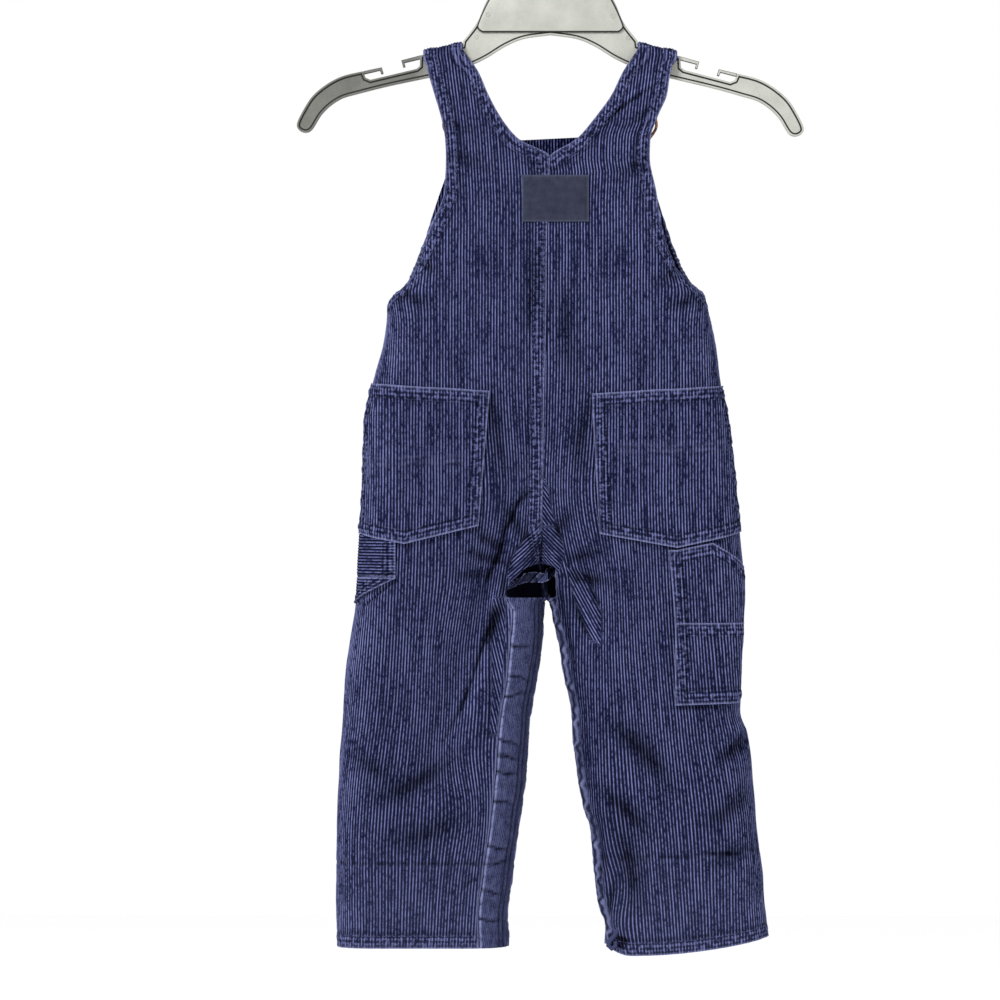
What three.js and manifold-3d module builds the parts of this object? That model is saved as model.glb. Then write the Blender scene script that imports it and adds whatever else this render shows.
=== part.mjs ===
// Corduroy bib overalls for a toddler, hung by their two straps on a plastic hanger.
// Millimetres, +Z up. The origin is inside the top of the hanger's hook. The back of the
// garment faces -Y, the side that shows, and the wearer's left is at -X.

import * as THREE from "three";
import { mergeVertices } from "three/addons/utils/BufferGeometryUtils.js";
import Module from "manifold-3d";

const wasm = await Module();
wasm.setup();

// Driving sizes of the cloth
const CLOTH = 1.5;
const SEAM_GAP = 0.3;
const LAY_GAP = 0.9;
const SIDE_ROUND = 22;
const INSEAM_ROUND = 20;
const WAIST_SEAM_Z = -318;
const PANEL_COLUMNS = 10;
const FRONT_COLUMNS = 9;

// Heights between which the flattened tube closes: at the armholes and at the crotch
const ARMHOLE_TOP_Z = -190;
const ARMHOLE_FOOT_Z = -247;
const SEAT_TOP_Z = -372;
const CROTCH_Z = -415;
const LEG_TOP_Z = -404;
const STRAP_FOOT_Z = -132;
const HEM_Z = { left: -635, right: -639.4 };
const SECTION_SAMPLES = 36;

// Driving sizes of the hanger
const HANGER_THICK = 5;
const HANGER_PLATE_THICK = 8;
const HANGER_BEVEL = 0.8;
const RIGHT_ARM_DROOP = 2.4;
const HANGER_HALF_SPAN = 152;
const HOOK_ROD_RADIUS = 2.5;
const HOOK_INNER_RADIUS = 17;

// Bib fastenings
const BUTTON_RADIUS = 8.5;
const BUTTON_X = 50;
const BUTTON_Z = -157;
const WIRE_RADIUS = 0.9;
const CLASP_TOP_Z = -129.2;

const COLOURS = {
  corduroy: 0x36395f,
  twill: 0x3f4368,
  patch: 0x23263c,
  hanger: 0xb4b4ae,
  copper: 0x8a4a32,
};

function table(names, rows) {
  return rows.map((row) => Object.fromEntries(names.map((name, i) => [name, row[i]])));
}

// The body from the hanger to the crotch, a row for each height. An edge is the neckline down
// to the V at -160 and the centre back seam below it.
const TORSO = table(["z", "leftSide", "leftEdge", "rightEdge", "rightSide", "depth"], [
  [-95, -76.5, -52.5, 52, 76, 6.5],
  [-109, -73.5, -43, 43.3, 72.2, 8],
  [-122, -69.8, -37.4, 37, 70.2, 9.2],
  [-136, -65.7, -29.8, 26.9, 64.2, 10.2],
  [-149, -63.3, -19.2, 15.7, 60.1, 11.2],
  [-160, -62.8, -0.3, -0.3, 59.7, 12],
  [-181, -63.9, -1.2, -1.2, 63.6, 13.5],
  [-200, -71, -1.8, -1.8, 66.5, 14.5],
  [-222, -78.3, -2.3, -2.3, 73.2, 16],
  [-236, -85, -2.4, -2.4, 83.2, 16.9],
  [-243, -94, -2.5, -2.5, 91.8, 17.3],
  [-247, -97, -2.6, -2.6, 93.4, 17.5],
  [-268, -99.5, -2.9, -2.9, 98.7, 19],
  [-297, -107.1, -3.7, -3.7, 102.6, 20.5],
  [-318, -111.3, -4.1, -4.1, 106.8, 21.5],
  [-352, -112.5, -4.5, -4.5, 110.6, 22.5],
  [-384, -114.2, -5.4, -5.4, 113.8, 22.5],
  [-404, -115.2, -6.3, -6.3, 115.6, 22],
]);

// Each leg from the crotch down. The edge is where the back panel ends: on the left at the arch
// of the open crotch and then at the snap placket, on the right at the rolled inner edge.
const LEG_COLUMNS = ["z", "side", "edge", "seam", "depth"];
const LEFT_LEG = table(LEG_COLUMNS, [
  [-404, -115.2, -6.3, -6.3, 22],
  [-407, -115.3, -15, -5.6, 22],
  [-411, -115.5, -19.3, -4.9, 21.8],
  [-416.5, -115.8, -25, -4, 21.5],
  [-422, -116.2, -27.3, -3.1, 21],
  [-425.5, -116.6, -26.7, -2.6, 20.8],
  [-426.4, -116.7, -26.3, -4.2, 20.7],
  [-428, -117, -25.5, -4.3, 20.6],
  [-433, -117.6, -22.9, -4.6, 20.3],
  [-456, -121, -24.6, -5.7, 19.5],
  [-474, -123.4, -26.3, -8.6, 19.2],
  [-498, -124.8, -30.3, -12.6, 19],
  [-530, -127, -33, -14.7, 18.6],
  [-560, -128.3, -36.2, -19, 18.2],
  [-595, -128.7, -41.2, -23.7, 17.6],
  [-615, -128.7, -43.4, -26.4, 17.2],
  [-635, -127.5, -43, -26.2, 16.8],
]);
const RIGHT_LEG = table(LEG_COLUMNS, [
  [-404, 115.6, -6.3, -6.3, 22],
  [-407, 115.8, 2.4, -5.6, 22],
  [-411, 116, 2.7, -4.9, 21.8],
  [-416.5, 116.5, 3.1, -4, 21.5],
  [-422, 116.6, 3.2, -3.1, 21],
  [-425.5, 116.6, 3.2, -2.6, 20.8],
  [-426.4, 116.6, 3.3, -0.5, 20.8],
  [-440, 116.1, 6.3, 2.8, 20],
  [-456, 115.4, 9.9, 6.4, 19.5],
  [-471, 114.8, 12.2, 8.7, 19.3],
  [-494, 114.4, 16.9, 13.4, 19],
  [-507, 118.6, 17.6, 14.1, 18.8],
  [-531, 121.6, 20.4, 16.9, 18.6],
  [-552, 123.2, 24.2, 20.7, 18.3],
  [-563, 124, 28, 24.5, 18.1],
  [-596, 128.1, 31.1, 27.6, 17.6],
  [-613, 128.6, 33.4, 29.9, 17.2],
  [-629, 130.3, 37.7, 34.2, 17],
  [-639.4, 130.4, 37.6, 34.1, 16.8],
]);

// The bib's two side edges, from its top down to the foot of the armholes
const BIB = table(["z", "left", "right"], [
  [-147.4, -56.5, 55.6],
  [-160, -60.5, 58.5],
  [-173, -64.8, 61.6],
  [-191, -70.5, 67.4],
  [-221, -79.8, 77.4],
  [-236.5, -86.8, 85.4],
  [-243, -94.4, 92.6],
  [-247, -97, 93.4],
]);
const BIB_TOP_SLANT = 0.05;
const BIB_SLANT_END_Z = -200;

// The largest folds: soft troughs along a line, on the back and on the hidden front
const CREASE_COLUMNS = ["x0", "z0", "x1", "z1", "width", "depth"];
const BACK_CREASES = table(CREASE_COLUMNS, [
  [-19, -352, -34, -428, 9, 2.6],
  [-34, -428, -70, -518, 10, 3],
  [-3, -362, 18, -412, 7, 1.8],
  [20, -412, 27, -470, 8, 2],
  [-70, -252, -58, -292, 9, 1.4],
  [72, -250, 62, -296, 9, 1.4],
  [-100, -470, -80, -560, 12, 1.6],
  [112, -496, 92, -512, 8, 2],
  [84, -512, 60, -590, 12, 1.6],
]);
const FRONT_CREASES = table(CREASE_COLUMNS, [
  [-16, -360, -40, -424, 9, 2.2],
  [-40, -430, -66, -530, 11, 2.4],
  [12, -366, 34, -430, 9, 2],
  [40, -440, 70, -540, 11, 2.2],
  [-70, -250, -40, -300, 10, 1.4],
  [66, -256, 48, -306, 10, 1.4],
]);

// Smooth curve through one column of a table, with no overshoot between its rows
function column(rows, name) {
  const points = rows.map((row) => [row.z, row[name]]).sort((a, b) => a[0] - b[0]);
  const slopes = [];
  for (let i = 0; i < points.length - 1; i += 1) {
    slopes.push((points[i + 1][1] - points[i][1]) / (points[i + 1][0] - points[i][0]));
  }
  const tangents = points.map((_, i) => {
    const before = slopes[Math.max(i - 1, 0)];
    const after = slopes[Math.min(i, slopes.length - 1)];
    return before * after <= 0 ? 0 : (2 * before * after) / (before + after);
  });
  return (z) => {
    const last = points.length - 1;
    const clamped = THREE.MathUtils.clamp(z, points[0][0], points[last][0]);
    let i = 0;
    while (i < last - 1 && clamped > points[i + 1][0]) {
      i += 1;
    }
    const span = points[i + 1][0] - points[i][0];
    const t = (clamped - points[i][0]) / span;
    const near = (1 + 2 * t) * (1 - t) ** 2 * points[i][1] + t * (1 - t) ** 2 * span * tangents[i];
    const far = t * t * (3 - 2 * t) * points[i + 1][1] + t * t * (t - 1) * span * tangents[i + 1];
    return near + far;
  };
}

function above(upper, lower, joinZ) {
  return (z) => (z > joinZ ? upper(z) : lower(z));
}

function halfOf(sideName, legRows) {
  return {
    name: sideName,
    side: above(column(TORSO, `${sideName}Side`), column(legRows, "side"), LEG_TOP_Z),
    edge: above(column(TORSO, `${sideName}Edge`), column(legRows, "edge"), LEG_TOP_Z),
    seam: above(column(TORSO, `${sideName}Edge`), column(legRows, "seam"), LEG_TOP_Z),
    depth: above(column(TORSO, "depth"), column(legRows, "depth"), LEG_TOP_Z),
  };
}
const LEFT = halfOf("left", LEFT_LEG);
const RIGHT = halfOf("right", RIGHT_LEG);

function smooth(value, from, to) {
  return THREE.MathUtils.smoothstep((value - from) / (to - from), 0, 1);
}

function roundEdge(distance, radius) {
  const t = THREE.MathUtils.clamp(distance / radius, 0, 1);
  return Math.sqrt(1 - (1 - t) ** 2);
}

function creaseAt(creases, x, z) {
  let sum = 0;
  for (const fold of creases) {
    const along = new THREE.Vector2(fold.x1 - fold.x0, fold.z1 - fold.z0);
    const offset = new THREE.Vector2(x - fold.x0, z - fold.z0);
    const t = THREE.MathUtils.clamp(offset.dot(along) / along.lengthSq(), 0, 1);
    const distance = offset.sub(along.multiplyScalar(t)).length();
    sum += fold.depth * Math.exp(-((distance / fold.width) ** 2));
  }
  return sum;
}

// The hem of the right leg rises to both sides of its lowest point
const RIGHT_HEM = { lowX: 48, inner: 6, outer: 10.6, innerReach: 14, outerReach: 82, fromZ: -590 };
function hemRise(half, x, z) {
  if (half.name !== "right") {
    return 0;
  }
  const reach = x > RIGHT_HEM.lowX ? RIGHT_HEM.outerReach : RIGHT_HEM.innerReach;
  const rise = x > RIGHT_HEM.lowX ? RIGHT_HEM.outer : RIGHT_HEM.inner;
  const part = Math.min(Math.abs(x - RIGHT_HEM.lowX) / reach, 1);
  return rise * part * part * smooth(z, RIGHT_HEM.fromZ, HEM_Z.right);
}

// A point of the garment's outer face: face is -1 on the back and 1 on the front
function facePoint(half, face, z, x) {
  const sideClose = smooth(z, ARMHOLE_TOP_Z, ARMHOLE_FOOT_Z);
  const seamClose = smooth(z, SEAT_TOP_Z, CROTCH_Z);
  const atSide = roundEdge(Math.abs(half.side(z) - x), SIDE_ROUND);
  const atSeam = roundEdge(Math.abs(x - half.seam(z)), INSEAM_ROUND);
  const fullness = (1 - sideClose * (1 - atSide)) * (1 - seamClose * (1 - atSeam));
  const fold = creaseAt(face < 0 ? BACK_CREASES : FRONT_CREASES, x, z);
  const out = fullness * (half.depth(z) - fold) + SEAM_GAP / 2;
  return new THREE.Vector3(x, face * out, z + hemRise(half, x, z));
}

// Points at equal lengths of cloth along one section, between two places across it
function sectionRow(half, face, z, fromX, toX, count) {
  const samples = [];
  for (let i = 0; i <= SECTION_SAMPLES; i += 1) {
    const t = (1 - Math.cos((Math.PI * i) / SECTION_SAMPLES)) / 2;
    samples.push(facePoint(half, face, z, fromX + (toX - fromX) * t));
  }
  const lengths = [0];
  for (let i = 1; i < samples.length; i += 1) {
    lengths.push(lengths[i - 1] + samples[i].distanceTo(samples[i - 1]));
  }
  const total = lengths[lengths.length - 1];
  const row = [];
  let k = 0;
  for (let i = 0; i <= count; i += 1) {
    const target = (total * i) / count;
    while (k < lengths.length - 2 && lengths[k + 1] < target) {
      k += 1;
    }
    const t = (target - lengths[k]) / (lengths[k + 1] - lengths[k] || 1);
    row.push(samples[k].clone().lerp(samples[k + 1], THREE.MathUtils.clamp(t, 0, 1)));
  }
  return row;
}

function gridNormals(grid) {
  const rows = grid.length;
  const columns = grid[0].length;
  return grid.map((row, r) => row.map((_, c) => {
    const across = grid[r][Math.min(c + 1, columns - 1)].clone().sub(grid[r][Math.max(c - 1, 0)]);
    const down = grid[Math.min(r + 1, rows - 1)][c].clone().sub(grid[Math.max(r - 1, 0)][c]);
    return across.cross(down).normalize();
  }));
}

function moved(grid, distance, face) {
  const normals = gridNormals(grid);
  const middle = normals[Math.floor(grid.length * 0.6)][Math.floor(grid[0].length / 2)];
  const sign = Math.sign(middle.y) === face ? 1 : -1;
  return grid.map((row, r) => row.map((point, c) => (
    point.clone().addScaledVector(normals[r][c], sign * distance))));
}

function bodyGeometry(positions, triangles) {
  const geometry = new THREE.BufferGeometry();
  geometry.setAttribute("position", new THREE.Float32BufferAttribute(positions, 3));
  let volume = 0;
  const corner = (i) => new THREE.Vector3().fromArray(positions, 3 * i);
  for (const [a, b, c] of triangles) {
    volume += corner(a).dot(corner(b).cross(corner(c)));
  }
  const index = triangles.flatMap(([a, b, c]) => (volume > 0 ? [a, b, c] : [a, c, b]));
  geometry.setIndex(index);
  geometry.computeVertexNormals();
  return geometry;
}

// A closed wall between two grids of points, with a rim all round
function wallGeometry(outer, inner) {
  const rows = outer.length;
  const columns = outer[0].length;
  const positions = [...outer.flat(), ...inner.flat()].flatMap((point) => point.toArray());
  const triangles = [];
  const outerAt = (r, c) => r * columns + c;
  const innerAt = (r, c) => rows * columns + r * columns + c;
  const quad = (a, b, c, d) => triangles.push([a, b, c], [a, c, d]);
  for (let r = 0; r < rows - 1; r += 1) {
    for (let c = 0; c < columns - 1; c += 1) {
      quad(outerAt(r, c), outerAt(r, c + 1), outerAt(r + 1, c + 1), outerAt(r + 1, c));
      quad(innerAt(r, c), innerAt(r + 1, c), innerAt(r + 1, c + 1), innerAt(r, c + 1));
    }
  }
  for (let c = 0; c < columns - 1; c += 1) {
    quad(outerAt(0, c), innerAt(0, c), innerAt(0, c + 1), outerAt(0, c + 1));
    quad(outerAt(rows - 1, c + 1), innerAt(rows - 1, c + 1), innerAt(rows - 1, c),
      outerAt(rows - 1, c));
  }
  for (let r = 0; r < rows - 1; r += 1) {
    quad(outerAt(r + 1, 0), innerAt(r + 1, 0), innerAt(r, 0), outerAt(r, 0));
    quad(outerAt(r, columns - 1), innerAt(r, columns - 1), innerAt(r + 1, columns - 1),
      outerAt(r + 1, columns - 1));
  }
  return bodyGeometry(positions, triangles);
}

const overalls = new THREE.Group();

function addPiece(name, geometry, colour, roughness = 0.9, metalness = 0) {
  const material = new THREE.MeshStandardMaterial({ color: colour, roughness, metalness });
  const mesh = new THREE.Mesh(geometry, material);
  mesh.name = name;
  overalls.add(mesh);
  return mesh;
}

// Below the straps a wall stays on its own side of the side seams
function keptToFace(grid, face) {
  return grid.map((row) => row.map((point) => {
    if (point.z > STRAP_FOOT_Z) {
      return point;
    }
    const y = face * Math.max(face * point.y, SEAM_GAP / 2);
    return new THREE.Vector3(point.x, y, point.z);
  }));
}

function addWall(name, grid, face, colour = COLOURS.corduroy, lift = 0) {
  const outer = lift > 0 ? moved(grid, lift + CLOTH, face) : grid;
  const inner = lift > 0 ? moved(grid, lift, face) : moved(grid, -CLOTH, face);
  return addPiece(name, wallGeometry(keptToFace(outer, face), keptToFace(inner, face)), colour);
}

// The strap's way over the hanger's arm and down the front, from its front end. Its height over
// the arm follows the arm's slope, and each row gives the run across the garment at both edges.
const STRAP_CREST = { innerX: 53, innerZ: -90, outerX: 76.5, outerZ: -95.3, half: 6.5, rise: 5.9 };
const STRAP_FRONT = table(["z", "y", "inner", "outer"], [
  [-126.8, 13.6, 38, 63],
  [-118, 12, 42, 66.5],
  [-109, 9.6, 47, 69.5],
  [-101, 7.2, 51, 72.5],
]);
const CREST_STEPS = 5;

function strapRows(half) {
  const sign = half.name === "left" ? -1 : 1;
  const rows = [];
  const across = (inner, outer, place) => Array.from({ length: PANEL_COLUMNS + 1 }, (_, i) => (
    place(inner + ((outer - inner) * i) / PANEL_COLUMNS)));
  for (const row of STRAP_FRONT) {
    rows.push(across(row.inner, row.outer, (x) => new THREE.Vector3(sign * x, row.y, row.z)));
  }
  for (let step = 0; step <= CREST_STEPS; step += 1) {
    const turn = (Math.PI * step) / CREST_STEPS;
    rows.push(across(STRAP_CREST.innerX, STRAP_CREST.outerX, (x) => {
      const part = (x - STRAP_CREST.innerX) / (STRAP_CREST.outerX - STRAP_CREST.innerX);
      const crest = THREE.MathUtils.lerp(STRAP_CREST.innerZ, STRAP_CREST.outerZ, part);
      const y = STRAP_CREST.half * Math.cos(turn);
      const z = crest - STRAP_CREST.rise * (1 - Math.sin(turn));
      return new THREE.Vector3(sign * x, y, z);
    }));
  }
  return rows;
}

// Back panels: each is one piece from the strap's front end over the hanger to the hem
const BACK_ROWS_LEFT = [
  -104, -112, -122, -136, -145, -152, -156.5, -160.3, -170, -181, -200, -222, -229, -236, -243, -247,
  -257, -268, -282, -297, -318, -335, -352, -368, -384, -396, -403.8, -407, -411, -416.5, -422, -428,
  -433, -444, -456, -474, -498, -514, -530, -545, -560, -578, -595, -615, HEM_Z.left];
const BACK_ROWS_RIGHT = [
  -104, -112, -122, -136, -145, -152, -156.5, -160.3, -170, -181, -200, -222, -229, -236, -243, -247,
  -257, -268, -282, -297, -318, -335, -352, -368, -384, -396, -403.8, -407, -411, -416.5, -426.4, -440,
  -456, -471, -486, -496, -507, -519, -531, -542, -552, -563, -580, -596, -613, -629, HEM_Z.right];

for (const [half, heights] of [[LEFT, BACK_ROWS_LEFT], [RIGHT, BACK_ROWS_RIGHT]]) {
  const outward = half.name === "left" ? -1 : 1;
  const rows = strapRows(half);
  for (const z of heights) {
    const seamClear = z < -160 ? (outward * SEAM_GAP) / 2 : 0;
    rows.push(sectionRow(half, -1, z, half.edge(z) + seamClear, half.side(z), PANEL_COLUMNS));
  }
  addWall(`back_${half.name}`, rows, -1);
}

// Front: the bib down to the waist seam, and the two trouser fronts below it
const bibLeft = column(BIB, "left");
const bibRight = column(BIB, "right");
const BIB_HEIGHTS = [-147.4, -160, -173, -191, -206, -221, -229, -236.5, -243, -247, -260, -280, -299];
const BIB_HALF_COLUMNS = 7;

function bibRow(z) {
  const open = z > ARMHOLE_FOOT_Z;
  const slant = BIB_TOP_SLANT * (1 - smooth(z, BIB_HEIGHTS[0], BIB_SLANT_END_Z));
  const left = open ? bibLeft(z) : LEFT.side(z);
  const right = open ? bibRight(z) : RIGHT.side(z);
  const bibLeftHalf = { ...LEFT, side: () => left, seam: () => 0 };
  const bibRightHalf = { ...RIGHT, side: () => right, seam: () => 0 };
  const leftRow = sectionRow(bibLeftHalf, 1, z, left, 0, BIB_HALF_COLUMNS);
  const rightRow = sectionRow(bibRightHalf, 1, z, 0, right, BIB_HALF_COLUMNS);
  const row = [...leftRow, ...rightRow.slice(1)];
  return row.map((point) => point.setZ(point.z + slant * point.x));
}
const bibRows = [...BIB_HEIGHTS, WAIST_SEAM_Z].map(bibRow);
addWall("bib", bibRows, 1);

const FRONT_HEIGHTS = [-336, -356, -376, -392, -404, -411, -416.5, -422, -425.5, -426.4, -440, -456];
const FRONT_LOWER = [-474, -498, -530, -560, -595, -615];
const FRONT_SEAM_FOOT_Z = -426;
for (const half of [LEFT, RIGHT]) {
  const outward = half.name === "left" ? -1 : 1;
  const heights = [WAIST_SEAM_Z - SEAM_GAP, ...FRONT_HEIGHTS, ...FRONT_LOWER, HEM_Z[half.name]];
  const rows = heights.map((z) => {
    const fromX = half.seam(z) + (z > FRONT_SEAM_FOOT_Z ? (outward * SEAM_GAP) / 2 : 0);
    return sectionRow(half, 1, z, fromX, half.side(z), FRONT_COLUMNS);
  });
  addWall(`front_${half.name}`, rows, 1);
}

// Inner leg: the snap placket of the left leg and the rolled edge of the right leg
const PLACKET_HEIGHTS = [-425.2, -428, -433, -444, -456, -474, -498, -514, -530, -545, -560, -578, -595];
const PLACKET_COLUMNS = 4;
const leftPlacketRows = [...PLACKET_HEIGHTS, -615, HEM_Z.left].map((z) => (
  sectionRow(LEFT, -1, z, LEFT.seam(z), LEFT.edge(z) + 2 * SEAM_GAP, PLACKET_COLUMNS)));
addWall("placket_left", leftPlacketRows, -1, COLOURS.twill);

const ROLL_HEIGHTS = [-426.4, -433, -440, -456, -471, -486, -496, -507, -519, -531, -542, -552, -563];
const rightPlacketRows = [...ROLL_HEIGHTS, -580, -596, -613, -629, HEM_Z.right].map((z) => (
  sectionRow(RIGHT, -1, z, RIGHT.seam(z), RIGHT.edge(z) - 2 * SEAM_GAP, 2)));
addWall("placket_right", rightPlacketRows, -1, COLOURS.twill);

// Crotch tape, a strip behind the fronts' inseam corner, seen through the open crotch. It bridges
// the ridge that the two fronts make at their seam.
const TAPE = { clearOfSeam: 3.5, behind: CLOTH + LAY_GAP };
const TAPE_OUTLINE = table(["x", "top", "bottom"], [
  [-24, -416.5, -419.5],
  [-19.5, -414.3, -417.2],
  [-13.7, -410, -416],
  [-9, -409.8, -415.8],
  [-4, -410, -415.8],
  [-2, -407.4, -414.8],
  [0.5, -406.9, -413.6],
  [2.4, -408.5, -411.5],
]);

function tapePoint(x, z) {
  const half = x < LEFT.seam(z) ? LEFT : RIGHT;
  const fromSeam = x - half.seam(z);
  const sheltered = Math.sign(fromSeam) * Math.max(Math.abs(fromSeam) - TAPE.clearOfSeam, 0);
  const front = facePoint(half, 1, z, half.seam(z) + sheltered);
  return new THREE.Vector3(x, front.y - TAPE.behind, z);
}
const tapeRows = [0, 0.5, 1].map((part) => TAPE_OUTLINE.map((row) => (
  tapePoint(row.x, THREE.MathUtils.lerp(row.top, row.bottom, part)))));
const tapeBack = tapeRows.map((row) => row.map((point) => (
  new THREE.Vector3(point.x, point.y - CLOTH, point.z))));
addPiece("crotch_tape", wallGeometry(tapeRows, tapeBack), COLOURS.twill);

// A patch sewn on a half of the back: its rows run from its upper to its lower line, and its
// columns from its inner line to a place just short of the side seam
function sewnGrid(half, inner, outer, top, bottom, columns, rows) {
  const grid = [];
  for (let r = 0; r <= rows; r += 1) {
    const row = [];
    for (let c = 0; c <= columns; c += 1) {
      const part = c / columns;
      const z = THREE.MathUtils.lerp(top(part), bottom(part), r / rows);
      const section = sectionRow(half, -1, z, inner(z), outer(z), columns);
      row.push(section[c]);
    }
    grid.push(row);
  }
  return grid;
}

function line(points) {
  return (t) => {
    let i = 0;
    while (i < points.length - 2 && t > points[i + 1][0]) {
      i += 1;
    }
    const [from, to] = [points[i], points[i + 1]];
    return THREE.MathUtils.lerp(from[1], to[1], (t - from[0]) / (to[0] - from[0]));
  };
}

const SIDE_CLEAR = 1.2;
const leftOuter = (z) => LEFT.side(z) + SIDE_CLEAR;
const rightOuter = (z) => RIGHT.side(z) - SIDE_CLEAR;

// Back pockets, with an upright inner edge, a slanted mouth and a shallow point at the foot
const leftPocket = sewnGrid(LEFT, line([[-386, -43.5], [-300, -36.3]]), leftOuter,
  line([[0, -300.8], [1, -296.2]]), line([[0, -381.4], [0.56, -392.2], [1, -385.5]]), 9, 5);
addWall("back_pocket_left", leftPocket, -1, COLOURS.corduroy, LAY_GAP);

const rightPocket = sewnGrid(RIGHT, line([[-388, 29.2], [-302, 24.6]]), rightOuter,
  line([[0, -302.4], [1, -297.6]]), line([[0, -386.2], [0.5, -394.6], [1, -384.5]]), 9, 5);
addWall("back_pocket_right", rightPocket, -1, COLOURS.corduroy, LAY_GAP);

// Tool pocket on the right leg, under the back pocket, with a second patch on its lower half
const toolInner = line([[-489.6, 74.4], [-395, 71.2]]);
const toolPocket = sewnGrid(RIGHT, toolInner, rightOuter,
  line([[0, -395.8], [0.1, -395.9], [0.52, -391.6], [1, -407]]), () => -489.6, 6, 8);
addWall("tool_pocket", toolPocket, -1, COLOURS.corduroy, LAY_GAP);

const toolLower = sewnGrid(RIGHT, toolInner, rightOuter, () => -439.8, () => -489.6, 6, 4);
const SECOND_LAYER = LAY_GAP + CLOTH + 0.5;
addWall("tool_pocket_lower", toolLower, -1, COLOURS.corduroy, SECOND_LAYER);

// Hammer loop on the left leg, under the back pocket, with its slanted lower edge
const hammerLoop = sewnGrid(LEFT, () => -92.9, leftOuter,
  line([[0, -393.2], [1, -387]]), line([[0, -412.8], [1, -428.4]]), 4, 4);
addWall("hammer_loop", hammerLoop, -1, COLOURS.corduroy, LAY_GAP);

// The plain patch at the top of the centre back seam
const PATCH = { left: -17, right: 23, top: -171, bottom: -199 };
const patchRows = [0, 1, 2, 3].map((r) => {
  const z = THREE.MathUtils.lerp(PATCH.top, PATCH.bottom, r / 3);
  return [0, 1, 2, 3, 4].map((c) => {
    const x = THREE.MathUtils.lerp(PATCH.left, PATCH.right, c / 4);
    return facePoint(x < LEFT.edge(z) ? LEFT : RIGHT, -1, z, x);
  });
});
addWall("back_patch", patchRows, -1, COLOURS.patch, 0.5);

// A closed wire through points in an upright plane
function wireLoop(points, y, sides, steps) {
  const path = new THREE.CatmullRomCurve3(points.map(([x, z]) => new THREE.Vector3(x, y, z)), true);
  const positions = [];
  const triangles = [];
  for (let i = 0; i < steps; i += 1) {
    const centre = path.getPointAt(i / steps);
    const outward = path.getTangentAt(i / steps).cross(new THREE.Vector3(0, 1, 0)).normalize();
    for (let k = 0; k < sides; k += 1) {
      const turn = (2 * Math.PI * k) / sides;
      const point = centre.clone().addScaledVector(outward, WIRE_RADIUS * Math.cos(turn));
      point.y += WIRE_RADIUS * Math.sin(turn);
      positions.push(...point.toArray());
      const next = ((i + 1) % steps) * sides;
      const here = i * sides;
      const turned = (k + 1) % sides;
      triangles.push([here + k, here + turned, next + turned], [here + k, next + turned, next + k]);
    }
  }
  return bodyGeometry(positions, triangles);
}

// Fastenings of the bib: a dome button on each corner and the wire clasp that hooks under it
const BUTTON_PROFILE = table(["radius", "height"], [
  [0, 0], [2.2, 0], [2.2, 3.2], [BUTTON_RADIUS, 3.2], [BUTTON_RADIUS, 4.2], [6.4, 5.4], [0, 5.9]]);
const CLASP_OUTLINE = table(["x", "drop"], [
  [-13, 0], [0, -0.3], [13, 0], [14, 6], [14, 12], [8.5, 20], [4.4, 25], [4.4, 31], [0, 35],
  [-4.4, 31], [-4.4, 25], [-8.5, 20], [-14, 12], [-14, 6]]);

for (const half of [LEFT, RIGHT]) {
  const sign = half.name === "left" ? -1 : 1;
  const bibFace = facePoint({ ...half, side: () => sign * 200 }, 1, BUTTON_Z, sign * BUTTON_X).y;
  const profile = BUTTON_PROFILE.map((row) => new THREE.Vector2(row.radius, row.height));
  const button = new THREE.LatheGeometry(profile, 16);
  button.translate(0, bibFace + SEAM_GAP + 0.1, 0);
  const placed = addPiece(`bib_button_${half.name}`, button, COLOURS.copper, 0.35, 0.9);
  placed.position.set(sign * BUTTON_X, 0, BUTTON_Z);

  const outline = CLASP_OUTLINE.map((row) => [sign * BUTTON_X + row.x, CLASP_TOP_Z - row.drop]);
  const wireY = bibFace + SEAM_GAP + WIRE_RADIUS + 0.5;
  addPiece(`clasp_${half.name}`, wireLoop(outline, wireY, 5, 30), COLOURS.copper, 0.35, 0.9);
}

function solidOf(geometry) {
  const bare = geometry.index ? geometry.toNonIndexed() : geometry.clone();
  bare.deleteAttribute("normal");
  bare.deleteAttribute("uv");
  const merged = mergeVertices(bare, 1e-3);
  const vertProperties = new Float32Array(merged.attributes.position.array);
  const triVerts = new Uint32Array(merged.index.array);
  return new wasm.Manifold(new wasm.Mesh({ numProp: 3, vertProperties, triVerts }));
}

function geometryOf(solid) {
  const mesh = solid.getMesh();
  const geometry = new THREE.BufferGeometry();
  geometry.setAttribute("position", new THREE.Float32BufferAttribute(mesh.vertProperties, 3));
  geometry.setIndex(Array.from(mesh.triVerts));
  geometry.computeVertexNormals();
  return geometry;
}

// The hanger is one moulding, held here as its centre, two arms, four fingers of the strap
// notches and the hook. Outlines are distances out from the centre and heights.
const CENTRE_TOP = [[6, -45], [20, -48], [31, -54], [38.8, -66], [44, -78], [52.5, -89.3]];
const CENTRE_SHOULDER = [[52.6, -92.1], [78.4, -98], [78.4, -112.5]];
const CENTRE_UNDER = [[74.2, -111.6], [60, -108.4], [46.7, -103.5], [37.7, -99.1], [26.8, -92.4],
  [15.7, -87.9], [0, -85.7]];
const ARM_NOTCH = [[78.7, -112.6], [78.7, -104.6], [80.6, -106.2], [108.4, -112.8], [111, -111.8],
  [111.6, -108]];
const ARM_OVER = [[112.7, -107.6], [125, -110.5], [134.5, -115.3], [143.2, -122.5], [149, -131.3],
  [152.8, -139]];
const ARM_TIP = [[151.6, -142.8], [147.6, -144.6], [143.4, -142.6]];
const ARM_UNDER = [[138.1, -134.2], [132.3, -128.3], [125, -123.8], [115.6, -121.1], [98.2, -116.7]];
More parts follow.
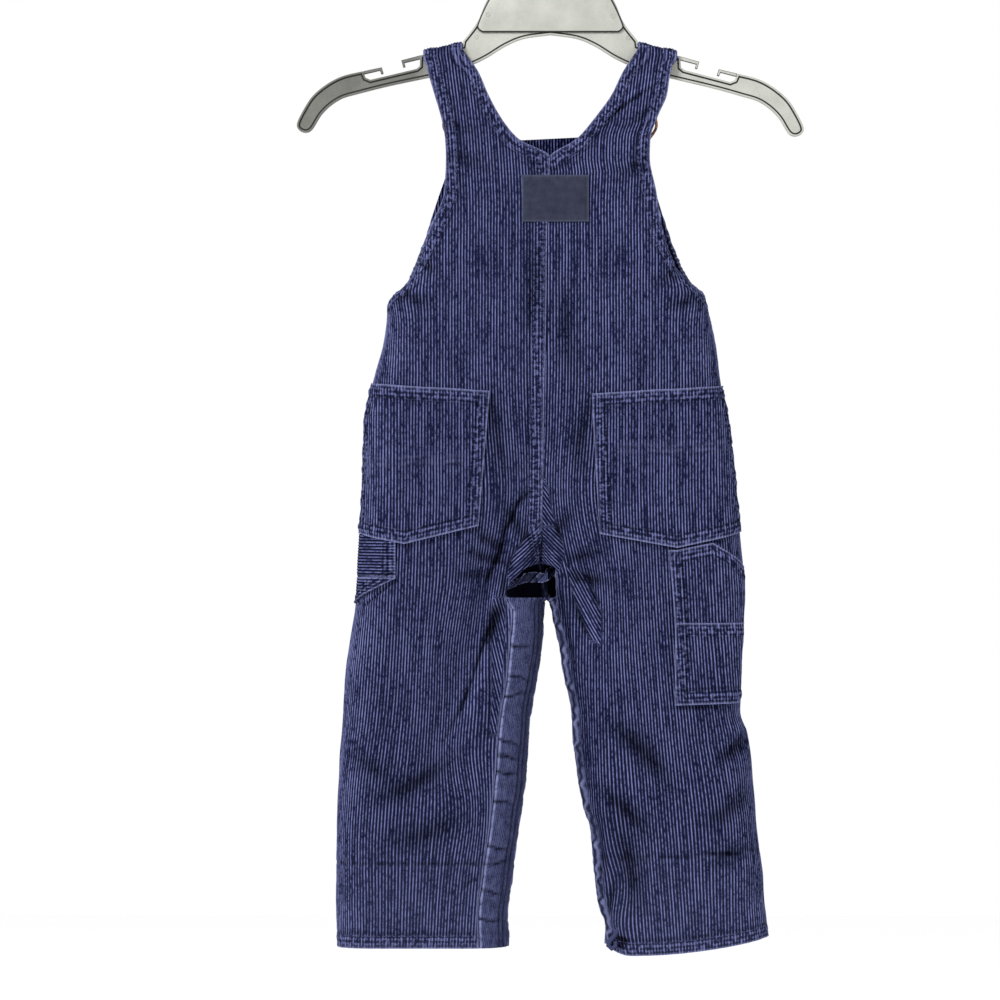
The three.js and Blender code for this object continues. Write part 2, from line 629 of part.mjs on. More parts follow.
const FINGER_INNER = [[78.8, -98.4], [89.8, -101], [88.6, -105.4], [87.2, -105], [87.9, -102.6],
  [78.8, -100.4]];
const FINGER_OUTER = [[111.1, -107.3], [101.6, -105.2], [100.4, -109], [101.8, -109.4],
  [102.7, -107.2], [111.1, -109.3]];

function onSide(points, sign) {
  const droop = (x) => RIGHT_ARM_DROOP * Math.max(0, (x - 54) / (HANGER_HALF_SPAN - 54));
  return points.map(([x, z]) => new THREE.Vector2(sign * x, z - (sign > 0 ? droop(x) : 0)));
}

function slab(points, thickness) {
  const geometry = new THREE.ExtrudeGeometry(new THREE.Shape(points), {
    depth: thickness - 2 * HANGER_BEVEL,
    bevelEnabled: true,
    bevelThickness: HANGER_BEVEL,
    bevelSize: HANGER_BEVEL / 2,
    bevelOffset: -HANGER_BEVEL / 2,
    bevelSegments: 1,
  });
  geometry.rotateX(Math.PI / 2);
  geometry.translate(0, thickness / 2 - HANGER_BEVEL, 0);
  return geometry;
}

const centreHalf = [...CENTRE_TOP, ...CENTRE_SHOULDER, ...CENTRE_UNDER];
const centreLeft = onSide(centreHalf, -1);
const centreRight = onSide(centreHalf.slice(0, -1), 1).reverse();
const PLATE_HALF = [[6, -45.5], [19.5, -48.5], [30.2, -54.6], [38, -66.2], [43.8, -79.2],
  [43.4, -82.6], [41, -84.3]];
const plate = slab([...onSide(PLATE_HALF, -1), ...onSide(PLATE_HALF, 1).reverse()],
  HANGER_PLATE_THICK);
const centre = solidOf(slab([...centreLeft, ...centreRight], HANGER_THICK)).add(solidOf(plate));
addPiece("hanger_centre", geometryOf(centre), COLOURS.hanger, 0.35);

for (const [sideName, sign] of [["left", -1], ["right", 1]]) {
  const arm = onSide([...ARM_NOTCH, ...ARM_OVER, ...ARM_TIP, ...ARM_UNDER], sign);
  addPiece(`hanger_arm_${sideName}`, slab(arm, HANGER_THICK), COLOURS.hanger, 0.35);
  const inner = slab(onSide(FINGER_INNER, sign), HANGER_THICK);
  addPiece(`notch_finger_inner_${sideName}`, inner, COLOURS.hanger, 0.35);
  const outer = slab(onSide(FINGER_OUTER, sign), HANGER_THICK);
  addPiece(`notch_finger_outer_${sideName}`, outer, COLOURS.hanger, 0.35);
}

// The hook: a stem, then most of a turn round the place of the rail
const HOOK_CENTRE_RADIUS = HOOK_INNER_RADIUS + HOOK_ROD_RADIUS;
const HOOK_START_TURN = -62;
const HOOK_END_TURN = 205;
const HOOK_TURN_STEPS = 10;
const hookPoints = [[0, -44.6], [0, -43], [2.2, -39]].map(([x, z]) => new THREE.Vector3(x, 0, z));
for (let step = 0; step <= HOOK_TURN_STEPS; step += 1) {
  const part = step / HOOK_TURN_STEPS;
  const turn = THREE.MathUtils.degToRad(THREE.MathUtils.lerp(HOOK_START_TURN, HOOK_END_TURN, part));
  const x = HOOK_CENTRE_RADIUS * Math.cos(turn);
  const z = -HOOK_INNER_RADIUS + HOOK_CENTRE_RADIUS * Math.sin(turn);
  hookPoints.push(new THREE.Vector3(x, 0, z));
}
const hookSection = new THREE.Shape();
hookSection.absarc(0, 0, HOOK_ROD_RADIUS, 0, 2 * Math.PI, false);
const hook = new THREE.ExtrudeGeometry(hookSection, {
  extrudePath: new THREE.CatmullRomCurve3(hookPoints),
  steps: 26,
  curveSegments: 4,
  bevelEnabled: false,
});
addPiece("hook", hook, COLOURS.hanger, 0.35);

export default overalls;
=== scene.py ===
import math

import bmesh
import bpy
import numpy as np
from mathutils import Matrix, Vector


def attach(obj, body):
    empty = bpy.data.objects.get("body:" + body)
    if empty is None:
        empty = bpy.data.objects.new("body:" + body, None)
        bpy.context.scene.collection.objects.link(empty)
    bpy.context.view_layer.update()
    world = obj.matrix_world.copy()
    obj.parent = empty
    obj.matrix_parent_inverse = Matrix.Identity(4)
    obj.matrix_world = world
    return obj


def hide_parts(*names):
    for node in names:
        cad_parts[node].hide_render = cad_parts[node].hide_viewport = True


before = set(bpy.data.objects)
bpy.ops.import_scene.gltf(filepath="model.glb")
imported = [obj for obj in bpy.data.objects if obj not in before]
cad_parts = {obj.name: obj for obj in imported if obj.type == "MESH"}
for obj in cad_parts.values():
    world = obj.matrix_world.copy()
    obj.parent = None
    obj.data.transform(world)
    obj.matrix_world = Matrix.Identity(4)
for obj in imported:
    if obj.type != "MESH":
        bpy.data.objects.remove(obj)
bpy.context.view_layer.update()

# Corduroy bib overalls for a toddler, hung by their straps on a plastic hanger.
# The cloth is worked out in millimetres in the frame's axes and written in metres:
# the back of the garment faces -Y, the wearer's left is at -X, heights are below the hook.

# Body and legs, back halves
# Each half of the back is cut in one piece of navy corduroy from the strap to the hem.
# Its shape follows sections by height: a flattened tube that closes at the side seams
# below the armholes and at the inseams below the crotch.
METRE = 0.001
CLOTH = 1.4
WALE = 1.8
COLUMN = WALE / 4
WALE_HEIGHT = 0.42
WALE_ROUNDNESS = 0.8
SIDE_ROUND = 22.0
INSEAM_ROUND = 20.0
ARMHOLE_TOP = -190.0
ARMHOLE_FOOT = -247.0
SEAT_TOP = -372.0
CROTCH = -415.0
LEG_TOP = -404.0
NECK_POINT = -160.0
WAIST_SEAM = -318.0
SEAM_GAP = 0.15
HEM = {"left": -635.0, "right": -639.4}
SIGN = {"left": -1.0, "right": 1.0}

TORSO_COLUMNS = ("z", "left_side", "left_edge", "right_edge", "right_side", "depth")
TORSO = (
    (-95, -76.5, -52.5, 52.0, 76.0, 6.5),
    (-109, -73.5, -43.0, 43.3, 72.2, 8.0),
    (-122, -69.8, -37.4, 37.0, 70.2, 9.2),
    (-136, -65.7, -29.8, 26.9, 64.2, 10.2),
    (-149, -63.3, -19.2, 15.7, 60.1, 11.2),
    (-160, -62.8, -0.3, -0.3, 59.7, 12.0),
    (-181, -63.9, -1.2, -1.2, 63.6, 13.5),
    (-200, -71.0, -1.8, -1.8, 66.5, 14.5),
    (-222, -78.3, -2.3, -2.3, 73.2, 16.0),
    (-236, -85.0, -2.4, -2.4, 83.2, 16.9),
    (-243, -94.0, -2.5, -2.5, 91.8, 17.3),
    (-247, -97.0, -2.6, -2.6, 93.4, 17.5),
    (-268, -99.5, -2.9, -2.9, 98.7, 19.0),
    (-297, -107.1, -3.7, -3.7, 102.6, 20.5),
    (-318, -111.3, -4.1, -4.1, 106.8, 21.5),
    (-352, -112.5, -4.5, -4.5, 110.6, 22.5),
    (-384, -114.2, -5.4, -5.4, 113.8, 22.5),
    (-404, -115.2, -6.3, -6.3, 115.6, 22.0),
)
LEG_COLUMNS = ("z", "side", "edge", "seam", "depth")
LEGS = {
    "left": (
        (-404, -115.2, -6.3, -6.3, 22.0),
        (-407, -115.3, -15.0, -5.6, 22.0),
        (-411, -115.5, -19.3, -4.9, 21.8),
        (-416.5, -115.8, -25.0, -4.0, 21.5),
        (-422, -116.2, -27.3, -3.1, 21.0),
        (-425.5, -116.6, -26.7, -2.6, 20.8),
        (-426.4, -116.7, -26.3, -4.2, 20.7),
        (-428, -117.0, -25.5, -4.3, 20.6),
        (-433, -117.6, -22.9, -4.6, 20.3),
        (-456, -121.0, -24.6, -5.7, 19.5),
        (-474, -123.4, -26.3, -8.6, 19.2),
        (-498, -124.8, -30.3, -12.6, 19.0),
        (-530, -127.0, -33.0, -14.7, 18.6),
        (-560, -128.3, -36.2, -19.0, 18.2),
        (-595, -128.7, -41.2, -23.7, 17.6),
        (-615, -128.7, -43.4, -26.4, 17.2),
        (-635, -127.5, -43.0, -26.2, 16.8),
    ),
    "right": (
        (-404, 115.6, -6.3, -6.3, 22.0),
        (-407, 115.8, 2.4, -5.6, 22.0),
        (-411, 116.0, 2.7, -4.9, 21.8),
        (-416.5, 116.5, 3.1, -4.0, 21.5),
        (-422, 116.6, 3.2, -3.1, 21.0),
        (-425.5, 116.6, 3.2, -2.6, 20.8),
        (-426.4, 116.6, 3.3, -0.5, 20.8),
        (-440, 116.1, 6.3, 2.8, 20.0),
        (-456, 115.4, 9.9, 6.4, 19.5),
        (-471, 114.8, 12.2, 8.7, 19.3),
        (-494, 114.4, 16.9, 13.4, 19.0),
        (-507, 118.6, 17.6, 14.1, 18.8),
        (-531, 121.6, 20.4, 16.9, 18.6),
        (-552, 123.2, 24.2, 20.7, 18.3),
        (-563, 124.0, 28.0, 24.5, 18.1),
        (-596, 128.1, 31.1, 27.6, 17.6),
        (-613, 128.6, 33.4, 29.9, 17.2),
        (-629, 130.3, 37.7, 34.2, 17.0),
        (-639.4, 130.4, 37.6, 34.1, 16.8),
    ),
}

# How far the grain leans from upright at each height, as the straps spread and the legs swing
GRAIN_COLUMNS = ("z", "left", "right")
GRAIN = (
    (-95, -8, 8),
    (-150, -2, 2),
    (-190, 0, 0),
    (-350, 0, 0),
    (-430, -2, 3),
    (-500, -5, 8),
    (-640, -13, 19),
)

# Creases, as soft troughs (or ridges, where the depth is under zero) along a bowed line. Each
# row is x and z of both ends, then the bow, the width and the depth.
BACK_CREASES = (
    (-19, -352, -34, -428, -3, 9, 2.6),
    (-34, -428, -70, -518, 6, 10, 3.0),
    (-3, -362, 18, -412, 2, 7, 1.8),
    (20, -412, 27, -470, 3, 8, 2.0),
    (-70, -252, -58, -292, 2, 9, 1.4),
    (72, -250, 62, -296, -2, 9, 1.4),
    (-100, -470, -80, -560, 4, 12, 1.6),
    (112, -496, 92, -512, 0, 8, 2.0),
    (84, -512, 60, -590, -4, 12, 1.6),
)
FINE_BACK_CREASES = (
    (-26, -396, -46, -384, 1, 3.0, 1.2),
    (-24, -404, -50, -396, 1, 3.0, 1.3),
    (-12, -392, -27, -368, 1, 3.2, 1.2),
    (-32, -412, -58, -412, -1, 3.2, 1.0),
    (-28, -424, -40, -452, 1, 3.4, 1.3),
    (-30, -418, -43, -438, 0, 2.6, -0.8),
    (2, -390, 14, -372, 1, 3.2, 1.0),
    (6, -402, 30, -396, -1, 3.2, 1.2),
    (8, -412, 36, -416, 1, 3.4, 1.1),
    (10, -424, 22, -446, 1, 3.0, 1.1),
    (14, -430, 34, -456, 2, 3.4, -0.8),
    (-3, -350, -24, -371, 1, 1.0, 1.3),
    (-17, -360, -29, -388, 1, 1.0, 1.4),
    (-25.5, -374, -32, -404, 0.5, 1.1, 1.0),
    (-29, -392, -41, -420, 0.5, 1.1, 1.1),
    (-14.7, -387, -23, -399.6, 0, 1.3, 1.0),
    (-23, -399.6, -26.6, -411, 0, 1.3, 0.9),
    (-12, -391, -20, -402, 0, 1.2, -0.6),
    (-35, -426, -35.4, -456, 0, 1.3, 0.9),
    (-35.4, -456, -36.9, -505.8, 0, 1.3, 0.7),
    (1.2, -374, 8.7, -397.2, 0, 1.2, 0.9),
    (-1, -361, 1.2, -374, 0, 1.2, 0.6),
    (22.5, -411, 30.3, -433.2, 0, 1.4, 1.0),
    (30.3, -433.2, 30.3, -453, 0, 1.4, 0.8),
    (9.3, -411, 15.3, -429.6, 0, 1.3, 0.7),
    (15.3, -429.6, 23.7, -450, 0, 1.3, 0.8),
    (-32.5, -431, -46, -468, 0, 1.1, 1.1),
    (-41, -455, -55, -494, 0.6, 1.1, 1.1),
    (-50, -480, -65, -511, 1, 1.3, 0.9),
    (-40, -470, -49, -494, 0, 2.2, -0.7),
    (-27.6, -410, -29.4, -425, 0, 1.5, 1.3),
    (-43.5, -504.5, -31.5, -507.6, 0, 1.4, 0.9),
    (-54, -599, -43.5, -591.5, 0, 1.4, 0.8),
    (5.2, -418, 13.4, -466, 0, 1.6, 0.8),
    (28.5, -560, 32, -590, 0, 1.8, 0.9),
    # The next nine rows are not folds but narrow dips that lay painted shadow along the sides and feet
    # of the back pockets and the tool pocket, and under the hammer loop's foot.
    (-41.6, -383.0, -86, -395.2, 0, 0.7, 0.8),
    (-80, -394.2, -120, -385.4, 0, 0.7, 0.8),
    (-35.0, -299, -42.6, -384, 0, 0.6, 0.5),
    (-92, -413.6, -114, -431.4, 0, 0.8, 1.1),
    (26, -387.2, 74, -396.8, 0, 0.7, 0.8),
    (68, -396.4, 120, -385.2, 0, 0.7, 0.8),
    (23.4, -300, 28.6, -388, 0, 0.6, 0.5),
    (71.0, -410, 73.6, -491, 0, 0.6, 0.6),
    (72, -490.4, 118, -489.0, 0, 0.7, 0.8),
    (38.5, -592, 33.5, -619, 0, 1.8, 1.1),
    (-60, -520, -104, -546, 3, 6.0, 1.2),
    (-52, -556, -96, -572, 2, 7.0, 1.0),
    (-118, -520, -96, -534, 1, 5.0, 1.0),
    (36, -500, 70, -536, 3, 6.0, 1.3),
    (30, -540, 58, -566, 2, 5.0, 1.2),
    (118, -508, 100, -522, 1, 4.5, 1.4),
    (120, -540, 92, -560, 2, 6.0, 1.1),
    (118, -572, 96, -584, 1, 6.0, 0.9),
    (40, -560, 52, -612, 2, 6.0, 1.1),
    (-84, -222, -66, -230, 1, 3.2, 0.9),
    (-92, -243, -74, -248, 1, 3.2, 1.0),
    (80, -226, 64, -234, 1, 3.2, 0.9),
    (90, -243, 70, -250, 1, 3.2, 1.0),
    (62, -117.3, 31, -140.6, -1.5, 1.2, 1.5),
    (60, -115.2, 35, -134.5, -1.5, 1.8, -0.7),
    (64, -128, 46, -140, 1, 2.2, 0.8),
    (58, -100, 47, -110, 1, 2.0, 0.6),
    (-66, -140, -44, -146, 1, 2.6, 0.6),
    (-60, -158, -40, -168, 1, 4.0, 0.7),
    (58, -160, 40, -172, 1, 4.0, 0.8),
    (-8, -214, -14, -262, 2, 5.0, 0.8),
    (10, -238, 14, -300, -2, 6.0, 0.8),
    (-36, -300, -30, -350, 1, 5.0, 0.9),
    (22, -306, 16, -352, -1, 5.0, 0.9),
)
FRONT_CREASES = (
    (-16, -360, -40, -424, 2, 9, 2.2),
    (-40, -430, -66, -530, 3, 11, 2.4),
    (12, -366, 34, -430, 2, 9, 2.0),
    (40, -440, 70, -540, 3, 11, 2.2),
    (-70, -250, -40, -300, 2, 10, 1.4),
    (66, -256, 48, -306, 2, 10, 1.4),
)
FINE_FRONT_CREASES = (
    (-20, -400, -48, -388, 1, 3.4, 1.2),
    (-18, -412, -56, -410, 1, 3.4, 1.1),
    (12, -404, 42, -396, 1, 3.4, 1.2),
    (14, -414, 50, -418, 1, 3.4, 1.1),
    (-104, -500, -70, -520, 2, 6.0, 1.2),
    (106, -506, 78, -528, 2, 6.0, 1.3),
    (-96, -560, -60, -580, 2, 7.0, 1.0),
    (104, -566, 66, -588, 2, 7.0, 1.1),
    (-84, -244, -56, -254, 1, 4.0, 1.0),
    (80, -242, 50, -256, 1, 4.0, 1.0),
    (-30, -318, -34, -352, 1, 5.0, 0.9),
    (40, -318, 36, -356, 1, 5.0, 0.9),
)


def track(names, rows, name):
    """A smooth curve by height through one column of a table, with no overshoot."""
    order = sorted(rows)
    heights = np.array([row[0] for row in order], float)
    values = np.array([row[names.index(name)] for row in order], float)
    slopes = np.diff(values) / np.diff(heights)
    before = np.concatenate([slopes[:1], slopes])
    after = np.concatenate([slopes, slopes[-1:]])
    together = before * after > 0
    total = np.where(together, before + after, 1.0)
    tangents = np.where(together, 2 * before * after / total, 0.0)

    def value(z):
        z = np.clip(z, heights[0], heights[-1])
        i = np.clip(np.searchsorted(heights, z) - 1, 0, len(heights) - 2)
        span = heights[i + 1] - heights[i]
        t = (z - heights[i]) / span
        near = (1 + 2 * t) * (1 - t) ** 2 * values[i] + t * (1 - t) ** 2 * span * tangents[i]
        far = t * t * (3 - 2 * t) * values[i + 1] + t * t * (t - 1) * span * tangents[i + 1]
        return near + far

    return value


def joined(upper, lower):
    return lambda z: np.where(np.asarray(z) > LEG_TOP, upper(z), lower(z))


def smooth(value, start, end):
    t = np.clip((np.asarray(value, float) - start) / (end - start), 0, 1)
    return t * t * (3 - 2 * t)


def bell(distance, width):
    return np.exp(-(distance / width) ** 2)


def half_shape(half):
    legs = LEGS[half]
    edge = track(TORSO_COLUMNS, TORSO, half + "_edge")
    return {
        "half": half,
        "side": joined(track(TORSO_COLUMNS, TORSO, half + "_side"), track(LEG_COLUMNS, legs, "side")),
        "edge": joined(edge, track(LEG_COLUMNS, legs, "edge")),
        "seam": joined(edge, track(LEG_COLUMNS, legs, "seam")),
        "depth": joined(track(TORSO_COLUMNS, TORSO, "depth"), track(LEG_COLUMNS, legs, "depth")),
        "grain": track(GRAIN_COLUMNS, GRAIN, half),
    }


SHAPE = {half: half_shape(half) for half in SIGN}


def round_edge(distance, radius):
    t = np.clip(distance / radius, 0, 1)
    return np.sqrt(1 - (1 - t) ** 2)


def bowed_line(x0, z0, x1, z1, bow, pieces=6):
    """Points of a line between two places that bows sideways at its middle."""
    t = np.linspace(0, 1, pieces + 1)
    length = math.hypot(x1 - x0, z1 - z0)
    side = bow * 4 * t * (1 - t)
    x = x0 + (x1 - x0) * t - (z1 - z0) / length * side
    z = z0 + (z1 - z0) * t + (x1 - x0) / length * side
    return np.stack([x, z], axis=1)


def line_distance(x, z, line):
    """Distance from each place to a polyline, and how far along the line it is."""
    best = np.full(np.shape(x), 1e9)
    along = np.zeros(np.shape(x))
    start = 0.0
    for (x0, z0), (x1, z1) in zip(line[:-1], line[1:]):
        dx, dz = x1 - x0, z1 - z0
        length = math.hypot(dx, dz) or 1e-6
        t = np.clip(((x - x0) * dx + (z - z0) * dz) / length ** 2, 0, 1)
        distance = np.hypot(x - x0 - t * dx, z - z0 - t * dz)
        closer = distance < best
        best = np.where(closer, distance, best)
        along = np.where(closer, start + t * length, along)
        start += length
    return best, along, start


# A fine fold fades to a share of its depth over a share of its length at both ends
CREASE_FADE = 0.3
CREASE_END = 0.35


def crease_depth(creases, x, z):
    total = np.zeros(np.broadcast(x, z).shape)
    for x0, z0, x1, z1, bow, width, depth in creases:
        line = bowed_line(x0, z0, x1, z1, bow)
        distance, along, length = line_distance(x, z, line)
        fade = np.clip(np.minimum(along, length - along) / (CREASE_FADE * length), 0, 1)
        total += depth * bell(distance, width) * (CREASE_END + (1 - CREASE_END) * fade)
    return total


def broad_crease(creases, x, z):
    """The broad folds, whose depth the part's solids have too."""
    total = np.zeros(np.broadcast(x, z).shape)
    for x0, z0, x1, z1, _, width, depth in creases:
        line = np.array([[x0, z0], [x1, z1]], float)
        distance, _, _ = line_distance(x, z, line)
        total += depth * bell(distance, width)
    return total


# The right leg's hem rises to both sides of its lowest point: height and reach of each rise
HEM_LOW_X = 48.0
HEM_RISE = {"inner": (6.0, 14.0), "outer": (10.6, 82.0)}
HEM_RISE_TOP = -590.0


def hem_rise(half, x, z):
    if half != "right":
        return np.zeros(np.broadcast(x, z).shape)
    rise = np.where(x > HEM_LOW_X, HEM_RISE["outer"][0], HEM_RISE["inner"][0])
    reach = np.where(x > HEM_LOW_X, HEM_RISE["outer"][1], HEM_RISE["inner"][1])
    part = np.minimum(np.abs(x - HEM_LOW_X) / reach, 1)
    return rise * part ** 2 * smooth(-z, -HEM_RISE_TOP, -HEM["right"])


def cloth_depth(shape, face, z, x, side=None, seam=None):
    """Distance of the cloth's outer face from the middle of the garment, front to back."""
    side = shape["side"](z) if side is None else side
    seam = shape["seam"](z) if seam is None else seam
    side_close = smooth(-z, -ARMHOLE_TOP, -ARMHOLE_FOOT)
    seam_close = smooth(-z, -SEAT_TOP, -CROTCH)
    at_side = round_edge(np.abs(side - x), SIDE_ROUND)
    at_seam = round_edge(np.abs(x - seam), INSEAM_ROUND)
    fullness = (1 - side_close * (1 - at_side)) * (1 - seam_close * (1 - at_seam))
    folds = BACK_CREASES if face < 0 else FRONT_CREASES
    return fullness * (shape["depth"](z) - broad_crease(folds, x, z)) + SEAM_GAP


SECTION_SAMPLES = 120
MIDDLE = 60.0
FAR = 99.0
CREASE_ANGLE = 65

# Where the hanging cloth is pulled on the bias, its wales are shifted outward or lean outward.
# Each row is x, z, half width, half height, shift and lean.
LEANS = {
    "left": (
        (-30, -396, 22, 50, 0, 0.17),
        (-54, -436, 18, 40, 0, 0.15),
        (-52, -536, 16, 32, 0, -0.22),
        (-112, -556, 30, 60, 5.0, 0),
        (-96, -238, 16, 14, 4.0, 0),
    ),
    "right": (
        (18, -392, 22, 46, 0, 0.19),
        (30, -560, 14, 60, -4.0, 0),
        (40, -609, 10, 22, 0, -0.28),
        (112, -556, 30, 60, 6.0, 0),
        (92, -238, 16, 14, 4.0, 0),
    ),
}
# Corners of cloth between two folds, whose wales lean outward by an angle in degrees
GUSSETS = {
    "left": (
        (47, ((-5.4, -378), (-14.7, -387), (-23, -399.6), (-26.4, -411), (-22, -418), (-5, -405))),
        (-16, ((-34.5, -424), (-27, -424), (-27.3, -450), (-30.3, -486), (-32.1, -507),
               (-36.9, -506), (-35.1, -486), (-35.7, -456))),
    ),
    "right": (
        (34, ((-4.5, -352), (-1, -361), (1.2, -374), (4.0, -381), (-5.5, -381))),
        (44, ((-5.5, -381), (4.0, -381), (7, -390), (8.7, -397.5), (4.5, -410), (-6, -410))),
        (27, ((9.3, -405), (22.5, -411), (30.3, -433), (30.3, -453), (23.7, -450),
              (15.3, -429.6))),
    ),
}


def inside_outline(x, z, corners):
    found = np.zeros(np.shape(x), bool)
    for (x0, z0), (x1, z1) in zip(corners, corners[1:] + corners[:1]):
        if z0 == z1:
            continue
        crosses = (z0 > z) != (z1 > z)
        found ^= crosses & (x < (x1 - x0) * (z - z0) / (z1 - z0) + x0)
    return found


def wale_places(half, s, x, z):
    """Places across the wales, which count from the same edge as the flat cloth's places."""
    places = s.copy()
    for x0, z0, half_width, half_height, shift, lean in LEANS[half]:
        near = bell(x - x0, half_width) * bell(z - z0, half_height)
        places -= (shift + lean * (z0 - z)) * near
    for degrees, corners in GUSSETS[half]:
        angle = math.radians(degrees)
        slanted = s * math.cos(angle) - (corners[0][1] - z) * math.sin(angle)
        places = np.where(inside_outline(x, z, corners), slanted, places)
    return places


def section(half, face, z, inner, outer, seam=None):
    """One level run of cloth from its inner to its outer edge, with its length measured."""
    shape = SHAPE[half]
    sign = SIGN[half]
    base = float(shape["seam"](z)) if seam is None else seam
    side = float(shape["side"](z))
    sweep = (1 - np.cos(np.linspace(0, math.pi, SECTION_SAMPLES))) / 2
    x = base + (side - base) * sweep
    y = face * cloth_depth(shape, face, z, x, seam=base)
    length = np.concatenate([[0], np.cumsum(np.hypot(np.diff(x), np.diff(y)))])
    middle = sign * MIDDLE + float(shape["grain"](z))
    s = MIDDLE + length - np.interp(sign * middle, sign * x, length)
    low = float(np.interp(sign * inner, sign * x, s))
    high = float(np.interp(sign * outer, sign * x, s))
    return {"x": x, "y": y, "z": z + hem_rise(half, x, z), "s": s, "low": low, "high": high, "v": -z}


# The strap's way over the hanger's arm, from its front end to its back
CREST = {"inner": 53.0, "inner_z": -90.0, "outer": 76.5, "outer_z": -95.3, "half": 6.5, "rise": 5.9}
STRAP_COLUMNS = ("z", "y", "inner", "outer")
STRAP_FRONT = (
    (-129.2, 16.1, 37, 62),
    (-126.8, 16.0, 38, 63),
    (-118, 14.4, 42, 66.5),
    (-109, 10.6, 47, 69.5),
    (-101, 7.4, 51, 72.5),
)
STRAP_TURN = {"y": 13.8, "z": -129.2, "radius": 2.3}
STRAP_TAIL_TOP = -113.0
STRAP_LEAN = 8.0
STRAP_SAMPLES = 30
CREST_TURNS = 9
STRAP_STEP = 2.0
STRAP_V = 20.0


def strap_path():
    """Places along the strap's outer face: up its folded end, over the hanger, to the back."""
    path = {name: track(STRAP_COLUMNS, STRAP_FRONT, name) for name in STRAP_COLUMNS[1:]}
    tail = STRAP_TURN["y"] - STRAP_TURN["radius"]
    places = [(tail, z, z) for z in np.arange(STRAP_TAIL_TOP, STRAP_TURN["z"], -STRAP_STEP)]
    for turn in np.linspace(math.pi, 2 * math.pi, 7):
        y = STRAP_TURN["y"] + STRAP_TURN["radius"] * math.cos(turn)
        z = STRAP_TURN["z"] + STRAP_TURN["radius"] * math.sin(turn)
        places.append((y, z, STRAP_TURN["z"]))
    places += [(float(path["y"](z)), z, z) for z in np.arange(-127.4, -100.9, STRAP_STEP)]
    return [(y, z, float(path["inner"](at)), float(path["outer"](at))) for y, z, at in places]


def strap_sections(half):
    sign = SIGN[half]
    rows = []
    for y, z, inner, outer in strap_path():
        x = np.linspace(inner, outer, STRAP_SAMPLES)
        rows.append({"x": sign * x, "y": np.full(STRAP_SAMPLES, y), "z": np.full(STRAP_SAMPLES, z)})
    for step in range(CREST_TURNS + 1):
        turn = math.pi * step / CREST_TURNS
        x = np.linspace(CREST["inner"], CREST["outer"], STRAP_SAMPLES)
        part = (x - CREST["inner"]) / (CREST["outer"] - CREST["inner"])
        crest = CREST["inner_z"] + part * (CREST["outer_z"] - CREST["inner_z"])
        y = np.full(STRAP_SAMPLES, CREST["half"] * math.cos(turn))
        rows.append({"x": sign * x, "y": y, "z": crest - CREST["rise"] * (1 - math.sin(turn))})
    v = STRAP_V
    before = None
    for row in rows:
        middle = STRAP_SAMPLES // 2
        here = np.array([row["y"][middle], row["z"][middle]])
        v += 0.0 if before is None else float(np.hypot(*(here - before)))
        before = here
        row["v"] = v
        row["s"] = sign * row["x"] - STRAP_LEAN
        row["low"] = float(row["s"][0])
        row["high"] = float(row["s"][-1])
    return rows


def sheet_from(half, face, sections):
    """A grid of cloth points, with a column at each quarter of a wale, held to its edges."""
    first = math.floor(min(row["low"] for row in sections) / WALE) * WALE
    last = math.ceil(max(row["high"] for row in sections) / WALE) * WALE
    count = int(round((last - first) / COLUMN)) + 1
    columns = first + COLUMN * np.arange(count)
    place = np.zeros((len(sections), count, 3))
    across = np.zeros((len(sections), count, 3))
    s = np.zeros((len(sections), count))
    for r, row in enumerate(sections):
        s[r] = np.clip(columns, row["low"], row["high"])
        for axis, name in enumerate("xyz"):
            place[r, :, axis] = np.interp(s[r], row["s"], row[name])
            slope = np.gradient(row[name], row["s"])
            across[r, :, axis] = np.interp(s[r], row["s"], slope)
    normal = np.cross(across, np.gradient(place, axis=0))
    normal /= np.linalg.norm(normal, axis=2, keepdims=True) + 1e-12
    normal *= face * SIGN[half]
    v = np.array([row["v"] for row in sections])
    low = np.array([row["low"] for row in sections])
    high = np.array([row["high"] for row in sections])
    return {"half": half, "face": face, "columns": columns, "place": place, "normal": normal,
            "s": s, "v": v, "low": low, "high": high}


def wale_ridge(s):
    return (0.5 - 0.5 * np.cos(2 * math.pi * s / WALE)) ** WALE_ROUNDNESS


def waves(t, lengths, seed):
    """Uneven ripples: waves of several lengths with seeded phases, from -1 to 1."""
    phases = np.random.default_rng(seed).uniform(0, 2 * math.pi, len(lengths))
    total = sum(np.sin(2 * math.pi * t / length + phase) for length, phase in zip(lengths, phases))
    return total / len(lengths)


PUCKER_LENGTHS = (4.9, 6.7, 9.5, 15.0)
INSEAM_LENGTHS = (6.1, 9.7, 17.0)
GATHER_LENGTHS = (2.6, 3.9, 5.5)
STITCH_LENGTHS = (2.9, 4.3, 7.1)
ROLL_LENGTHS = (7.3, 11.9, 19.0)
RUFFLE_LENGTHS = (2.3, 3.4, 5.1)
BAND_ROWS = (1.6, 6.6)
FELL_WIDTH = 9.0
FELL_ROWS = (1.4, 7.6)
HEM_BAND = 8.5
HEM_ROWS = (7.4,)


def new_layers(sheet):
    size = sheet["s"].shape
    return {"relief": np.zeros(size), "wear_and_highlight": np.full(size, 0.05), "painted_shading": np.zeros(size),
            "across": np.full(size, FAR), "along": np.zeros(size)}


def add_folds(layers, creases, x, z, share=1.0):
    """Fine folds, with painted shade darkening their troughs and painted light on their ridges."""
    folds = crease_depth(creases, x, z) * share
    layers["relief"] -= folds
    layers["painted_shading"] -= 0.55 * folds


